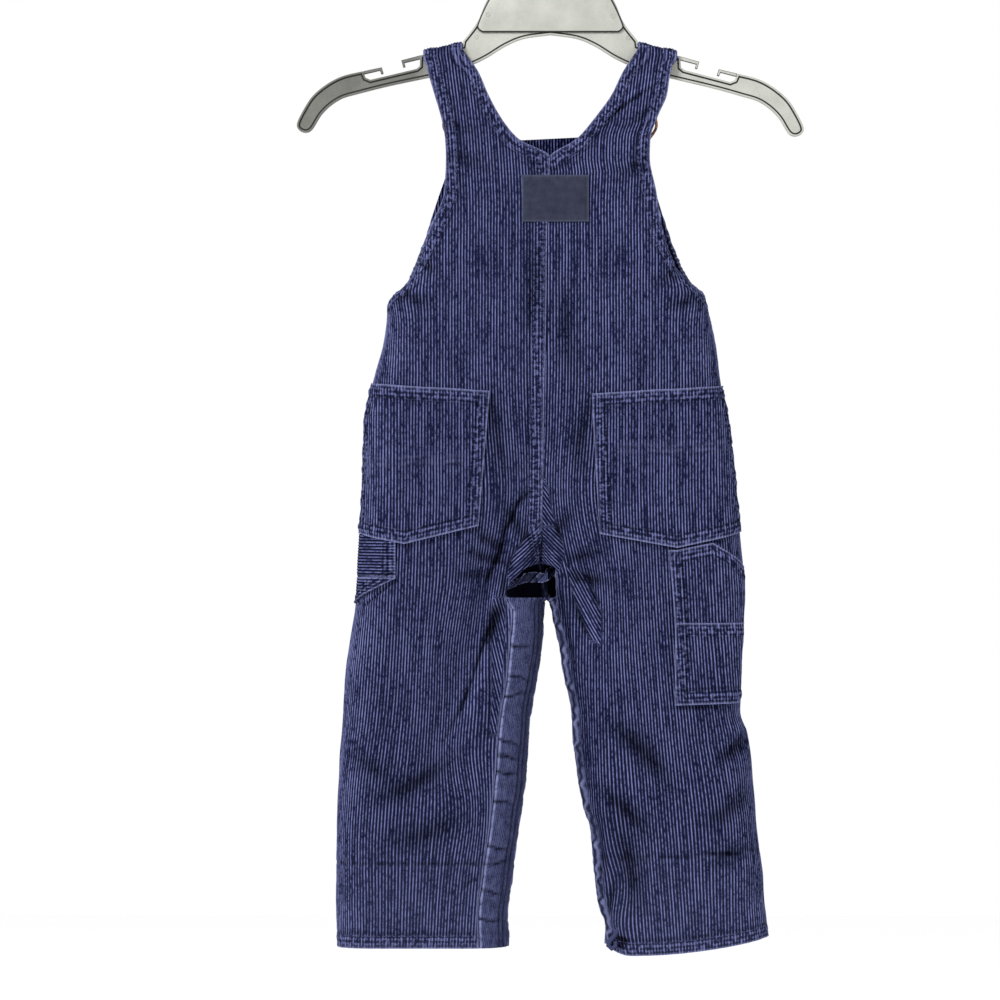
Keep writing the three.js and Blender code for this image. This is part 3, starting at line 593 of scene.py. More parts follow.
def sewn_band(layers, distance, along, seed, width=8.0, raised=0.6, pucker=0.5,
              rows=BAND_ROWS, edge_wear=0.7, skew=0.6):
    """A turned and double-stitched band along an edge or seam, roped by its stitching, with painted
    light and shade on its ripples and a painted shadow along its outer side.
    """
    inside = 1 - smooth(distance, width - 0.8, width + 0.6)
    spread = bell(np.maximum(distance - width, 0), 5.0)
    rope = waves(along + skew * distance, PUCKER_LENGTHS, seed)
    ripple = pucker * rope * spread * (0.45 + 0.55 * inside)
    layers["relief"] += raised * inside + ripple
    # Painted light and shade on the ripples beside the band
    layers["painted_shading"] += 0.5 * ripple * (1 - inside)
    for place in rows:
        layers["relief"] -= 0.4 * bell(distance - place, 0.7)
    layers["wear_and_highlight"] += edge_wear * bell(distance, 0.8)
    # A painted shadow just outside the band's raised edge
    layers["painted_shading"] -= 0.45 * bell(distance - width - 0.7, 0.7)
    nearer = distance < layers["across"]
    layers["across"] = np.where(nearer, distance, layers["across"])
    layers["along"] = np.where(nearer, along + 37.0 * (seed % 17), layers["along"])


SEEDS = {"back": 100, "bib": 301, "front": 400, "placket": 500, "tape": 610, "pocket": 700,
         "tool": 760, "loop": 811, "patch": 821}
SEED_STEP = 20


def surface_noise(s, v, seed):
    """Soft unevenness of hanging cloth, a few tenths of a millimetre."""
    first = waves(v + 0.3 * s, (61.0, 38.0, 23.0), seed)
    second = waves(s - 0.2 * v, (47.0, 29.0, 17.0), seed + 1)
    return 0.5 * (first + second)


def grid_ids(sheet, rows, columns):
    """Vertex numbers of a grid; columns past an edge share the edge's own vertex."""
    ids = np.zeros((len(rows), len(columns)), int)
    positions = sheet["columns"][columns]
    for i, r in enumerate(rows):
        first = max(int(np.searchsorted(positions, sheet["low"][r], side="right")) - 1, 0)
        last = min(int(np.searchsorted(positions, sheet["high"][r], side="left")), len(columns) - 1)
        ids[i] = i * len(columns) + np.clip(np.arange(len(columns)), first, last)
    return ids


def distinct(corners):
    kept = []
    for corner in corners:
        if corner not in kept:
            kept.append(corner)
    return kept


def lowest_nearby(relief, rows, columns):
    """The deepest trough within a few rows and columns of each point."""
    low = np.minimum(relief, 0)
    for axis, reach in ((0, rows), (1, columns)):
        moved = [np.roll(low, step, axis=axis) for step in range(-reach, reach + 1)]
        low = np.minimum.reduce(moved)
    return low


def add_object(name, data):
    piece = bpy.data.objects.new(name, data)
    bpy.context.scene.collection.objects.link(piece)
    return piece


def cloth_mesh(name, sheet, layers, material, shift=0.0, thickness=CLOTH, coarse=4, skip=2,
               turned=False, inner_look=1.0):
    """A thin closed shell: the waled outer face, a plain inner face and a rim between them."""
    relief = layers["relief"]
    count = len(sheet["v"])
    width = len(sheet["columns"])
    outer_rows = np.arange(count)
    outer_columns = np.arange(width)
    inner_rows = np.unique(np.append(np.arange(0, count, skip), count - 1))
    inner_columns = np.unique(np.append(np.arange(0, width, coarse), width - 1))
    outer = sheet["place"] + sheet["normal"] * (shift + relief)[..., None]
    sunk = lowest_nearby(relief, skip, coarse)
    inner = sheet["place"] + sheet["normal"] * (shift - thickness + sunk)[..., None]
    inner = inner[np.ix_(inner_rows, inner_columns)]
    outer_ids = grid_ids(sheet, outer_rows, outer_columns)
    inner_ids = grid_ids(sheet, inner_rows, inner_columns) + count * width
    faces = []
    for grid, reverse in ((outer_ids, False), (inner_ids, True)):
        quads = np.stack([grid[:-1, :-1], grid[:-1, 1:], grid[1:, 1:], grid[1:, :-1]], axis=-1)
        quads = quads.reshape(-1, 4)
        if reverse:
            quads = quads[:, ::-1]
        whole = (quads[:, 0] != quads[:, 1]) & (quads[:, 2] != quads[:, 3])
        whole &= (quads[:, 1] != quads[:, 2]) & (quads[:, 0] != quads[:, 3])
        faces += quads[whole].tolist()
        faces += [face for face in map(distinct, quads[~whole].tolist()) if len(face) > 2]
    for column, back in ((0, False), (-1, True)):
        for i in range(len(inner_rows) - 1):
            run = outer_ids[inner_rows[i]:inner_rows[i + 1] + 1, column].tolist()
            rim = distinct(run + [inner_ids[i + 1, column], inner_ids[i, column]])
            faces.append(rim[::-1] if back else rim)
    for row, back in ((0, True), (-1, False)):
        for i in range(len(inner_columns) - 1):
            run = outer_ids[row, inner_columns[i]:inner_columns[i + 1] + 1].tolist()
            rim = distinct(run + [inner_ids[row, i + 1], inner_ids[row, i]])
            if len(rim) > 2:
                faces.append(rim[::-1] if back else rim)
    if sheet["face"] * SIGN[sheet["half"]] < 0:
        faces = [face[::-1] for face in faces]
    vertices = np.concatenate([outer.reshape(-1, 3), inner.reshape(-1, 3)]) * METRE
    v_grid = np.broadcast_to(sheet["v"].reshape(count, -1), (count, width))
    wale = sheet.get("wale", sheet["s"])
    flat = np.stack([v_grid, wale] if turned else [wale, -v_grid], axis=-1)
    flat = np.concatenate([flat.reshape(-1, 2),
                           flat[np.ix_(inner_rows, inner_columns)].reshape(-1, 2)]) * METRE
    blank = np.zeros(inner.shape[0] * inner.shape[1])
    values = {name: np.concatenate([layers[name].reshape(-1), blank + (FAR if name == "across" else 0)])
              for name in ("wear_and_highlight", "painted_shading", "across", "along")}
    values["inside"] = np.concatenate([np.zeros(count * width), blank + inner_look])
    used = np.unique(np.fromiter((corner for face in faces for corner in face), int))
    number = np.full(len(vertices), -1)
    number[used] = np.arange(len(used))
    faces = [[int(number[corner]) for corner in face] for face in faces]
    mesh = bpy.data.meshes.new(name)
    mesh.from_pydata(vertices[used].tolist(), [], faces)
    loops = np.zeros(len(mesh.loops), int)
    mesh.loops.foreach_get("vertex_index", loops)
    layer = mesh.uv_layers.new(name="cloth")
    layer.data.foreach_set("uv", flat[used][loops].reshape(-1).astype(np.float32))
    for label, numbers in values.items():
        attribute = mesh.attributes.new(label, "FLOAT", "POINT")
        attribute.data.foreach_set("value", numbers[used].astype(np.float32))
    mesh.shade_smooth()
    mesh.set_sharp_from_angle(angle=math.radians(CREASE_ANGLE))
    mesh.materials.append(material)
    return add_object(name, mesh)


def node_math(tree, operation, first, second=None, third=None, clamp=False):
    node = tree.nodes.new("ShaderNodeMath")
    node.operation = operation
    node.use_clamp = clamp
    for socket, value in zip(node.inputs, (first, second, third)):
        if isinstance(value, (int, float)):
            socket.default_value = value
        elif value is not None:
            tree.links.new(value, socket)
    return node.outputs[0]


def node_times(tree, first, second, clamp=False):
    return node_math(tree, "MULTIPLY", first, second, clamp=clamp)


def node_plus(tree, first, second):
    return node_math(tree, "ADD", first, second)


def node_mix(tree, share, first, second):
    node = tree.nodes.new("ShaderNodeMix")
    node.data_type = "RGBA"
    for socket, value in ((node.inputs[0], share), (node.inputs[6], first), (node.inputs[7], second)):
        if isinstance(value, (int, float, tuple)):
            socket.default_value = value
        else:
            tree.links.new(value, socket)
    return node.outputs[2]


def node_noise(tree, vector, scale, detail=2.0, roughness=0.5):
    node = tree.nodes.new("ShaderNodeTexNoise")
    node.inputs["Scale"].default_value = scale
    node.inputs["Detail"].default_value = detail
    node.inputs["Roughness"].default_value = roughness
    tree.links.new(vector, node.inputs["Vector"])
    return node.outputs["Fac"]


def node_stretch(tree, vector, scale):
    node = tree.nodes.new("ShaderNodeMapping")
    node.inputs["Scale"].default_value = scale
    tree.links.new(vector, node.inputs["Vector"])
    return node.outputs["Vector"]


def node_attribute(tree, name):
    node = tree.nodes.new("ShaderNodeAttribute")
    node.attribute_name = name
    return node.outputs["Fac"]


def node_sum(tree, parts, less=0.0, clamp=False):
    """A sum of sources, each with its weight, less a fixed amount."""
    total = None
    for source, weight in parts:
        weighted = node_times(tree, source, weight)
        total = weighted if total is None else node_plus(tree, total, weighted)
    return node_math(tree, "SUBTRACT", total, less, clamp=clamp)


def node_parts(tree, vector):
    parts = tree.nodes.new("ShaderNodeSeparateXYZ")
    tree.links.new(vector, parts.inputs[0])
    return parts.outputs


def cloth_places(tree):
    """Places on the flat cloth, in metres."""
    uv = tree.nodes.new("ShaderNodeUVMap")
    uv.uv_map = "cloth"
    return uv.outputs[0]


def node_fabric(tree, vector, scale, detail=2.0, roughness=0.5):
    """Noise stretched by its own scale across and along the cloth."""
    return node_noise(tree, node_stretch(tree, vector, scale + (1,)), 1.0, detail, roughness)


def node_shaded(tree, colour, most=None):
    """A colour made lighter or darker by the cloth's painted shading: painted light on crests, painted
    shade in troughs, folds and gaps.
    """
    shade = node_plus(tree, node_attribute(tree, "painted_shading"), 1.0)
    if most:
        shade = node_math(tree, "MINIMUM", shade, most)
    shade = node_math(tree, "MAXIMUM", shade, DARKEST_SHADE)
    shaded = tree.nodes.new("ShaderNodeVectorMath")
    shaded.operation = "SCALE"
    tree.links.new(colour, shaded.inputs[0])
    tree.links.new(shade, shaded.inputs["Scale"])
    return shaded.outputs[0]


def finish_shader(tree, shader, colour, height, strength, depth):
    """The shader's colour, and a bump whose depth is in millimetres."""
    tree.links.new(colour, shader.inputs["Base Color"])
    bump = tree.nodes.new("ShaderNodeBump")
    bump.inputs["Strength"].default_value = strength
    bump.inputs["Distance"].default_value = depth * METRE
    tree.links.new(height, bump.inputs["Height"])
    tree.links.new(bump.outputs[0], shader.inputs["Normal"])


def new_material(name, roughness, specular=None, sheen=0.0):
    material = bpy.data.materials.new(name)
    material.use_nodes = True
    shader = material.node_tree.nodes["Principled BSDF"]
    shader.inputs["Roughness"].default_value = roughness
    if specular is not None:
        shader.inputs["Specular IOR Level"].default_value = specular
    if sheen:
        shader.inputs["Sheen Weight"].default_value = sheen
        shader.inputs["Sheen Roughness"].default_value = SHEEN_ROUGHNESS
        shader.inputs["Sheen Tint"].default_value = SHEEN_TINT
    return material, material.node_tree, shader


# Wale colours: the near-black valleys carry painted shade over the pile's navy, and the pale crests of
# the ridges are partly rubbed pile and partly a painted highlight.
CORD_VALLEY_SHADED = (0.0003, 0.0005, 0.0060, 1)
CORD_MIDDLE = (0.0016, 0.0024, 0.0150, 1)
CORD_RIDGE_WORN_AND_LIT = (0.076, 0.084, 0.178, 1)
# The pale colour for rubbed cloth and for painted highlights
CORD_WORN_AND_HIGHLIGHT = (0.090, 0.099, 0.185, 1)
CORD_INSIDE = (0.010, 0.011, 0.030, 1)
CLOTH_SPECULAR = 0.005
CLOTH_SHEEN = 0.004
SHEEN_ROUGHNESS = 0.45
SHEEN_TINT = (0.3, 0.32, 0.6, 1)
DARKEST_SHADE = 0.12
CORD_LIGHTEST = 1.35


def remap(tree, value, low, high):
    node = tree.nodes.new("ShaderNodeMapRange")
    node.interpolation_type = "SMOOTHSTEP"
    node.inputs["From Min"].default_value = low
    node.inputs["From Max"].default_value = high
    tree.links.new(value, node.inputs["Value"])
    return node.outputs[0]


def corduroy_material():
    """Corduroy: pile ridges pale along their tops, partly rubbed and partly a painted highlight,
    valleys darkened with painted shade, roped sewn bands.
    """
    material, tree, shader = new_material("corduroy", 0.95, CLOTH_SPECULAR, CLOTH_SHEEN)
    places = cloth_places(tree)
    wear_and_highlight = node_attribute(tree, "wear_and_highlight")
    across = node_attribute(tree, "across")
    wander = node_fabric(tree, places, (70, 45), 1.0)
    turn = node_times(tree, node_parts(tree, places)[0], 2 * math.pi / (WALE * METRE))
    turn = node_plus(tree, turn, node_times(tree, wander, 1.6))
    wale = node_math(tree, "MULTIPLY_ADD", node_math(tree, "COSINE", turn), -0.5, 0.5)
    fleck = node_fabric(tree, places, (700, 300), 3.0, 0.7)
    streak = node_fabric(tree, places, (330, 30))
    cloud = node_noise(tree, places, 24.0, 3.0)
    fibre = node_fabric(tree, places, (4200, 2200))
    lift = node_sum(tree, ((fleck, 4.2), (streak, 2.6), (cloud, 0.8)), 3.1)
    lift = node_plus(tree, lift, node_times(tree, wear_and_highlight, 0.9))
    ridge = node_math(tree, "POWER", wale, 4.6)
    crest = node_times(tree, ridge, lift, clamp=True)
    base = node_mix(tree, node_math(tree, "POWER", wale, 1.6), CORD_VALLEY_SHADED, CORD_MIDDLE)
    colour = node_mix(tree, crest, base, CORD_RIDGE_WORN_AND_LIT)
    # Inside a sewn band, rungs across it: painted highlights and painted shade for the light and shade
    # on its roped puckers.
    band = remap(tree, across, 8.4, 7.6)
    place = tree.nodes.new("ShaderNodeCombineXYZ")
    tree.links.new(node_times(tree, across, 0.30), place.inputs[0])
    tree.links.new(node_times(tree, node_attribute(tree, "along"), 0.46), place.inputs[1])
    rung = node_noise(tree, place.outputs[0], 1.0, 1.0)
    row = node_math(tree, "COSINE", node_times(tree, across, 2 * math.pi / 2.8))
    row = node_math(tree, "MULTIPLY_ADD", row, 0.10, rung)
    lit_rung = node_times(tree, remap(tree, row, 0.52, 0.64), band)
    shaded_rung = node_times(tree, remap(tree, row, 0.50, 0.38), band)
    partial = node_math(tree, "MULTIPLY_ADD", ridge, 0.6, 0.35)
    rough_lit = node_times(tree, lit_rung, node_times(tree, fleck, 1.7))
    rough_lit = node_times(tree, rough_lit, partial, clamp=True)
    colour = node_mix(tree, rough_lit, colour, CORD_RIDGE_WORN_AND_LIT)
    colour = node_mix(tree, node_times(tree, shaded_rung, 0.85), colour, CORD_VALLEY_SHADED)
    pale_share = node_times(tree, wear_and_highlight, node_plus(tree, fleck, 0.35), clamp=True)
    colour = node_mix(tree, node_times(tree, pale_share, 0.75), colour, CORD_WORN_AND_HIGHLIGHT)
    shaded = node_shaded(tree, colour, CORD_LIGHTEST)
    colour = node_mix(tree, node_attribute(tree, "inside"), shaded, CORD_INSIDE)
    pile = node_plus(tree, node_times(tree, fibre, 0.5), fleck)
    pile = node_plus(tree, pile, node_times(tree, lit_rung, 0.9))
    finish_shader(tree, shader, colour, pile, 0.6, 0.3)
    return material


CORDUROY = corduroy_material()

ROW_STEP = 2.0
EDGE_POINTS = 26
BACK_TOP = -104.0
STRAP_JOIN = 3.0
ABOVE_STRAP = -60.0
NECK_FOOT = NECK_POINT + 0.6
ARMHOLE_END = ARMHOLE_FOOT + 2
# The back half of a strap lies behind this depth
BEHIND = -5.0
FINE_BANDS = ((-152.0, -163.0), (-402.0, -434.0))


def heights_between(top, bottom, step=ROW_STEP):
    """Row heights, closer together where an edge of the cloth turns sharply."""
    rows = []
    z = top
    while z > bottom + 0.4 * step:
        rows.append(z)
        fine = any(high > z > low for high, low in FINE_BANDS)
        z -= step * (0.5 if fine else 1.0)
    rows.append(bottom)
    return rows


def back_sheet(half):
    shape = SHAPE[half]
    sections = strap_sections(half)
    v_start = sections[-1]["v"] + STRAP_JOIN
    for z in heights_between(BACK_TOP, HEM[half]):
        row = section(half, -1, z, float(shape["edge"](z)), float(shape["side"](z)))
        row["v"] = v_start + BACK_TOP - z
        sections.append(row)
    return sheet_from(half, -1, sections)


def edge_line(sheet, name, top, bottom):
    """One edge of a sheet between two heights, as places on the flat cloth."""
    z = sheet["place"][:, len(sheet["columns"]) // 2, 2]
    rows = [r for r in range(len(z)) if bottom <= z[r] <= top]
    rows = rows[:: max(1, len(rows) // EDGE_POINTS)] + rows[-1:]
    return np.array([[sheet[name][r], -sheet["v"][r]] for r in rows])


# A cut's area is at most this share of its rectangle
LARGEST_SHARE = 0.99


def cut_size(sheet):
    """Width and length of the flat rectangle round a cut, and the cut's own area, in metres."""
    v = np.broadcast_to(sheet["v"].reshape(len(sheet["low"]), -1), sheet["s"].shape)
    width = sheet["high"].max() - sheet["low"].min()
    length = v.max() - v.min()
    runs = (sheet["high"] - sheet["low"])[:-1]
    area = float((runs * np.diff(v.mean(axis=1))).sum())
    area = min(area, LARGEST_SHARE * float(width) * float(length))
    return (float(width) * METRE, float(length) * METRE), area * METRE ** 2


def declare(piece, slot, node, rests_on, flat, area=None):
    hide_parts(node)
    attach(piece, "root")


def flat_grid(sheet):
    """Places of a sheet's points on the flat cloth: across, and down from its top."""
    return sheet["s"], np.broadcast_to(sheet["v"].reshape(len(sheet["low"]), -1), sheet["s"].shape)


def along_edge(sheet, name, top, bottom):
    """Each point's distance from a part of one edge on the flat cloth, and its place along it."""
    s, v = flat_grid(sheet)
    distance, along, _ = line_distance(s, -v, edge_line(sheet, name, top, bottom))
    return distance, along


def edge_relief(sheet, depth=0.5):
    """The rounding of a cut's turned side edges."""
    inward = np.minimum(sheet["s"] - sheet["low"][:, None], sheet["high"][:, None] - sheet["s"])
    return -depth * bell(inward, 0.6)


BACK = {}
BACK_LAYERS = {}
# The line of a hem let down, which slants on the right leg
GROWTH_LINE = {"left": -583.5, "right": -581.0}
GROWTH_SLANT = 0.07
GROWTH_SLANT_FROM = 60
INNER_LEG_TOP = {"left": -424.0, "right": LEG_TOP}
# Painted shadow in the dark hollow beside the curled foot of the right placket: x, z and their reaches
FOOT_SHADOW = (42.0, -631.5, 3.2, 3.4)
for number, half in enumerate(("left", "right")):
    sheet = back_sheet(half)
    BACK[half] = sheet
    s, v = flat_grid(sheet)
    x = sheet["place"][..., 0]
    z = sheet["place"][..., 2]
    layers = new_layers(sheet)
    BACK_LAYERS[half] = layers
    sheet["wale"] = wale_places(half, s, x, z)
    behind = (sheet["place"][..., 1] < BEHIND).astype(float)
    layers["relief"] += surface_noise(s, v, 11 + number) * 0.45
    add_folds(layers, FINE_BACK_CREASES, x, z, behind)
    seed = SEEDS["back"] * (number + 1)
    sewn_band(layers, *along_edge(sheet, "low", ABOVE_STRAP, NECK_FOOT), seed + 1, pucker=0.4)
    sewn_band(layers, *along_edge(sheet, "high", ABOVE_STRAP, ARMHOLE_END), seed + 2)
    distance, along = along_edge(sheet, "low", NECK_POINT - 1, LEG_TOP)
    if half == "left":
        sewn_band(layers, distance, along, seed + 3, width=FELL_WIDTH, rows=FELL_ROWS, pucker=0.55,
                  edge_wear=0.75)
    else:
        layers["relief"] += 0.35 * waves(along, PUCKER_LENGTHS, seed + 4) * bell(distance, 5)
        # A painted shadow line along the seam's edge.
        layers["painted_shading"] -= 0.4 * bell(distance, 0.8)
    distance, along = along_edge(sheet, "low", INNER_LEG_TOP[half], HEM[half])
    layers["relief"] += 0.5 * waves(along, INSEAM_LENGTHS, seed + 5) * bell(distance, 6)
    layers["wear_and_highlight"] += 0.8 * bell(distance, 0.9)
    from_hem = sheet["v"][-1] - v
    sewn_band(layers, from_hem, s, seed + 6, width=HEM_BAND, rows=HEM_ROWS, pucker=0.45, skew=0.9)
    slant = GROWTH_SLANT * np.maximum(x - GROWTH_SLANT_FROM, 0) if half == "right" else 0.0
    growth = from_hem - (GROWTH_LINE[half] - HEM[half]) - slant
    layers["relief"] -= 0.5 * bell(growth, 0.9)
    layers["relief"] += 0.3 * waves(s, PUCKER_LENGTHS, seed + 7) * bell(growth, 4)
    broken = np.clip(0.55 + waves(s, (5, 8, 13), seed), 0, 1)
    layers["wear_and_highlight"] += 0.12 * bell(growth + 1.6, 1.0) * broken
    # Painted shade in the groove of the let-down line.
    layers["painted_shading"] -= 0.9 * bell(growth, 0.9) * (0.3 + 0.7 * broken)
    layers["wear_and_highlight"] += 0.05 * smooth(-z, 540, 635)
    if half == "right":
        # Painted shadow in the hollow beside the placket's curled foot.
        hollow_x, hollow_z, reach_x, reach_z = FOOT_SHADOW
        layers["painted_shading"] -= 1.6 * bell(x - hollow_x, reach_x) * bell(z - hollow_z, reach_z)
    layers["relief"] += edge_relief(sheet) + WALE_HEIGHT * wale_ridge(sheet["wale"])
    piece = cloth_mesh("back_panel_" + half, sheet, layers, CORDUROY)
    declare(piece, "corduroy", "back_" + half, "hanger_arm_" + half, *cut_size(sheet))

# Side seams
# The back's and the fronts' edges meet in an overlocked seam, whose narrow roll lies inside.
SEAM_ROLL = 0.6
SEAM_ROLL_INSIDE = 0.9
SEAM_ROLL_STEP = 6.0
SEAM_ROLL_SIDES = 6
SEAM_ROLL_SMOOTH = 80
WAIST_ROLL_POINTS = 70


def add_tube(builder, path, radius, sides, closed, across=(0.0, 1.0, 0.0)):
    """A round rod along a path of 3-D places in millimetres, with flat or joined ends."""
    path = np.array(path, float)
    if closed:
        tangent = np.roll(path, -1, axis=0) - np.roll(path, 1, axis=0)
    else:
        tangent = np.gradient(path, axis=0)
    tangent /= np.linalg.norm(tangent, axis=1, keepdims=True)
    first = np.cross(tangent, np.array(across))
    first /= np.linalg.norm(first, axis=1, keepdims=True)
    second = np.cross(tangent, first)
    rings = []
    for centre, u, w in zip(path, first, second):
        turns = 2 * math.pi * np.arange(sides) / sides
        places = centre + radius * (np.cos(turns)[:, None] * u + np.sin(turns)[:, None] * w)
        rings.append([builder.verts.new(place * METRE) for place in places])
    count = len(rings)
    for i in range(count if closed else count - 1):
        here = rings[i]
        after = rings[(i + 1) % count]
        for k in range(sides):
            n = (k + 1) % sides
            builder.faces.new((here[k], here[n], after[n], after[k]))
    if not closed:
        builder.faces.new(rings[0])
        builder.faces.new(rings[-1])


def finished_piece(name, builder, material, smooth_angle=40):
    bmesh.ops.recalc_face_normals(builder, faces=builder.faces)
    mesh = bpy.data.meshes.new(name)
    builder.to_mesh(mesh)
    builder.free()
    mesh.shade_smooth()
    mesh.set_sharp_from_angle(angle=math.radians(smooth_angle))
    mesh.materials.append(material)
    piece = add_object(name, mesh)
    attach(piece, "root")
    return piece


def seam_roll(half):
    path = []
    lowest = HEM[half] + SEAM_ROLL
    for z in np.append(np.arange(ARMHOLE_FOOT - 1, lowest, -SEAM_ROLL_STEP), lowest):
        x = float(SHAPE[half]["side"](z)) - SIGN[half] * SEAM_ROLL_INSIDE
        path.append((x, 0.0, float(z + hem_rise(half, np.array(x), np.array(z)))))
    return path


def waist_roll():
    """The waist seam's roll, along the inside of the front from side to side."""
    path = []
    low = float(SHAPE["left"]["side"](WAIST_SEAM)) + SEAM_ROLL_INSIDE
    high = float(SHAPE["right"]["side"](WAIST_SEAM)) - SEAM_ROLL_INSIDE
    for x in (low + high) / 2 - (high - low) / 2 * np.cos(np.linspace(0, math.pi, WAIST_ROLL_POINTS)):
        half = "left" if x < SHAPE["left"]["seam"](WAIST_SEAM) else "right"
        y = cloth_depth(SHAPE[half], 1, WAIST_SEAM, np.array([x]), seam=0.0)[0]
        path.append((x, max(float(y) - SEAM_ROLL_INSIDE, 0.0), WAIST_SEAM))
    return path


for half in SIGN:
    builder = bmesh.new()
    add_tube(builder, seam_roll(half), SEAM_ROLL, SEAM_ROLL_SIDES, False)
    piece = finished_piece("side_seam_" + half, builder, CORDUROY, SEAM_ROLL_SMOOTH)
builder = bmesh.new()
add_tube(builder, waist_roll(), SEAM_ROLL, SEAM_ROLL_SIDES, False, across=(0.0, 0.0, 1.0))
piece = finished_piece("waist_seam", builder, CORDUROY, SEAM_ROLL_SMOOTH)

# Bib
# The front's upper piece of corduroy, a flat trapezium with a double-stitched top edge, which
# shows in the V of the neck and beside the armholes. It ends at the waist seam.
BIB_COLUMNS = ("z", "left", "right")
BIB = (
    (-147.4, -56.5, 55.6),
    (-160, -60.5, 58.5),
    (-173, -64.8, 61.6),
    (-191, -70.5, 67.4),
    (-221, -79.8, 77.4),
    (-236.5, -86.8, 85.4),
    (-243, -94.4, 92.6),
    (-247, -97.0, 93.4),
)
BIB_TOP = -147.4
BIB_FOOT = WAIST_SEAM - 0.05
ABOVE_BIB = -100.0
BIB_SLANT = 0.05
BIB_SLANT_END = -200.0
FRONT_STEP = 2.5


def bib_section(z):
    edges = {}
    for half in SIGN:
        edge = track(BIB_COLUMNS, BIB, half)
        edges[half] = float(edge(z) if z > ARMHOLE_FOOT else SHAPE[half]["side"](z))
    sweep = (1 - np.cos(np.linspace(0, math.pi, 2 * SECTION_SAMPLES))) / 2
    x = edges["left"] + (edges["right"] - edges["left"]) * sweep
    on_left = cloth_depth(SHAPE["left"], 1, z, x, side=edges["left"], seam=0.0)
    on_right = cloth_depth(SHAPE["right"], 1, z, x, side=edges["right"], seam=0.0)
    y = np.where(x < 0, on_left, on_right)
    length = np.concatenate([[0], np.cumsum(np.hypot(np.diff(x), np.diff(y)))])
    s = length - np.interp(0.0, x, length)
    slant = BIB_SLANT * (1 - smooth(-z, -BIB_TOP, -BIB_SLANT_END))
    return {"x": x, "y": y, "z": z + slant * x, "s": s, "low": s[0], "high": s[-1], "v": -z}


rows = [bib_section(z) for z in heights_between(BIB_TOP, BIB_FOOT, FRONT_STEP)]
sheet = sheet_from("right", 1, rows)
s, v = flat_grid(sheet)
layers = new_layers(sheet)
layers["relief"] += surface_noise(s, v, 31) * 0.5
add_folds(layers, FINE_FRONT_CREASES, sheet["place"][..., 0], sheet["place"][..., 2])
sewn_band(layers, v - sheet["v"][0], s, SEEDS["bib"])
for number, name in enumerate(("low", "high")):
    sewn_band(layers, *along_edge(sheet, name, ABOVE_BIB, ARMHOLE_END), SEEDS["bib"] + 1 + number)
layers["relief"] += edge_relief(sheet) + WALE_HEIGHT * wale_ridge(s)
piece = cloth_mesh("bib_panel", sheet, layers, CORDUROY, coarse=1, inner_look=0.0)
declare(piece, "corduroy", "bib", "clasp_left", *cut_size(sheet))

# Trouser fronts
# Two pieces of corduroy from the waist seam to the hems, joined by the centre front seam and
# by the side seams. They hang behind the back panels in the main view.
FRONT_SEAM_FOOT = -426.0
FRONT_TOP = BIB_FOOT - 0.1
FACING_WIDTH = 14.0
FACING_ROWS = (2.0, 12.6)
for number, half in enumerate(("left", "right")):
    shape = SHAPE[half]
    sign = SIGN[half]
    sections = []
    for z in heights_between(FRONT_TOP, HEM[half], FRONT_STEP):
        clear = sign * SEAM_GAP if z > FRONT_SEAM_FOOT else 0.0
        sections.append(section(half, 1, z, float(shape["seam"](z)) + clear, float(shape["side"](z))))
    sheet = sheet_from(half, 1, sections)
    s, v = flat_grid(sheet)
    z = sheet["place"][..., 2]
    layers = new_layers(sheet)
    seed = SEEDS["front"] + SEED_STEP * number
    layers["relief"] += surface_noise(s, v, seed) * 0.5
    add_folds(layers, FINE_FRONT_CREASES, sheet["place"][..., 0], z)
    sewn_band(layers, v - sheet["v"][0], s, seed + 1)
    if half == "left":
        sewn_band(layers, *along_edge(sheet, "low", FRONT_TOP + 1, FRONT_SEAM_FOOT), seed + 2,
                  width=FELL_WIDTH, rows=FELL_ROWS)
    sewn_band(layers, *along_edge(sheet, "low", FRONT_SEAM_FOOT, HEM[half]), seed + 3,
              width=FACING_WIDTH, rows=FACING_ROWS, pucker=0.35)
    from_hem = sheet["v"][-1] - v
    sewn_band(layers, from_hem, s, seed + 4, width=HEM_BAND, rows=HEM_ROWS)
    growth = from_hem - (GROWTH_LINE[half] - HEM[half])
    layers["relief"] -= 0.5 * bell(growth, 0.9)
    layers["relief"] += edge_relief(sheet) + WALE_HEIGHT * wale_ridge(s)
    piece = cloth_mesh("front_panel_" + half, sheet, layers, CORDUROY)
    declare(piece, "corduroy", "front_" + half, "bib_panel", *cut_size(sheet))

# Snap plackets
# Strips of smooth navy twill down the inner legs. The left one lies open between the back
# panel's edge and the front's. The right one shows as a rolled, wavy edge.
TWILL_DARK = (0.0050, 0.0065, 0.024, 1)
TWILL_LIGHT = (0.0400, 0.0440, 0.092, 1)
TWILL_PITCH = 1.25


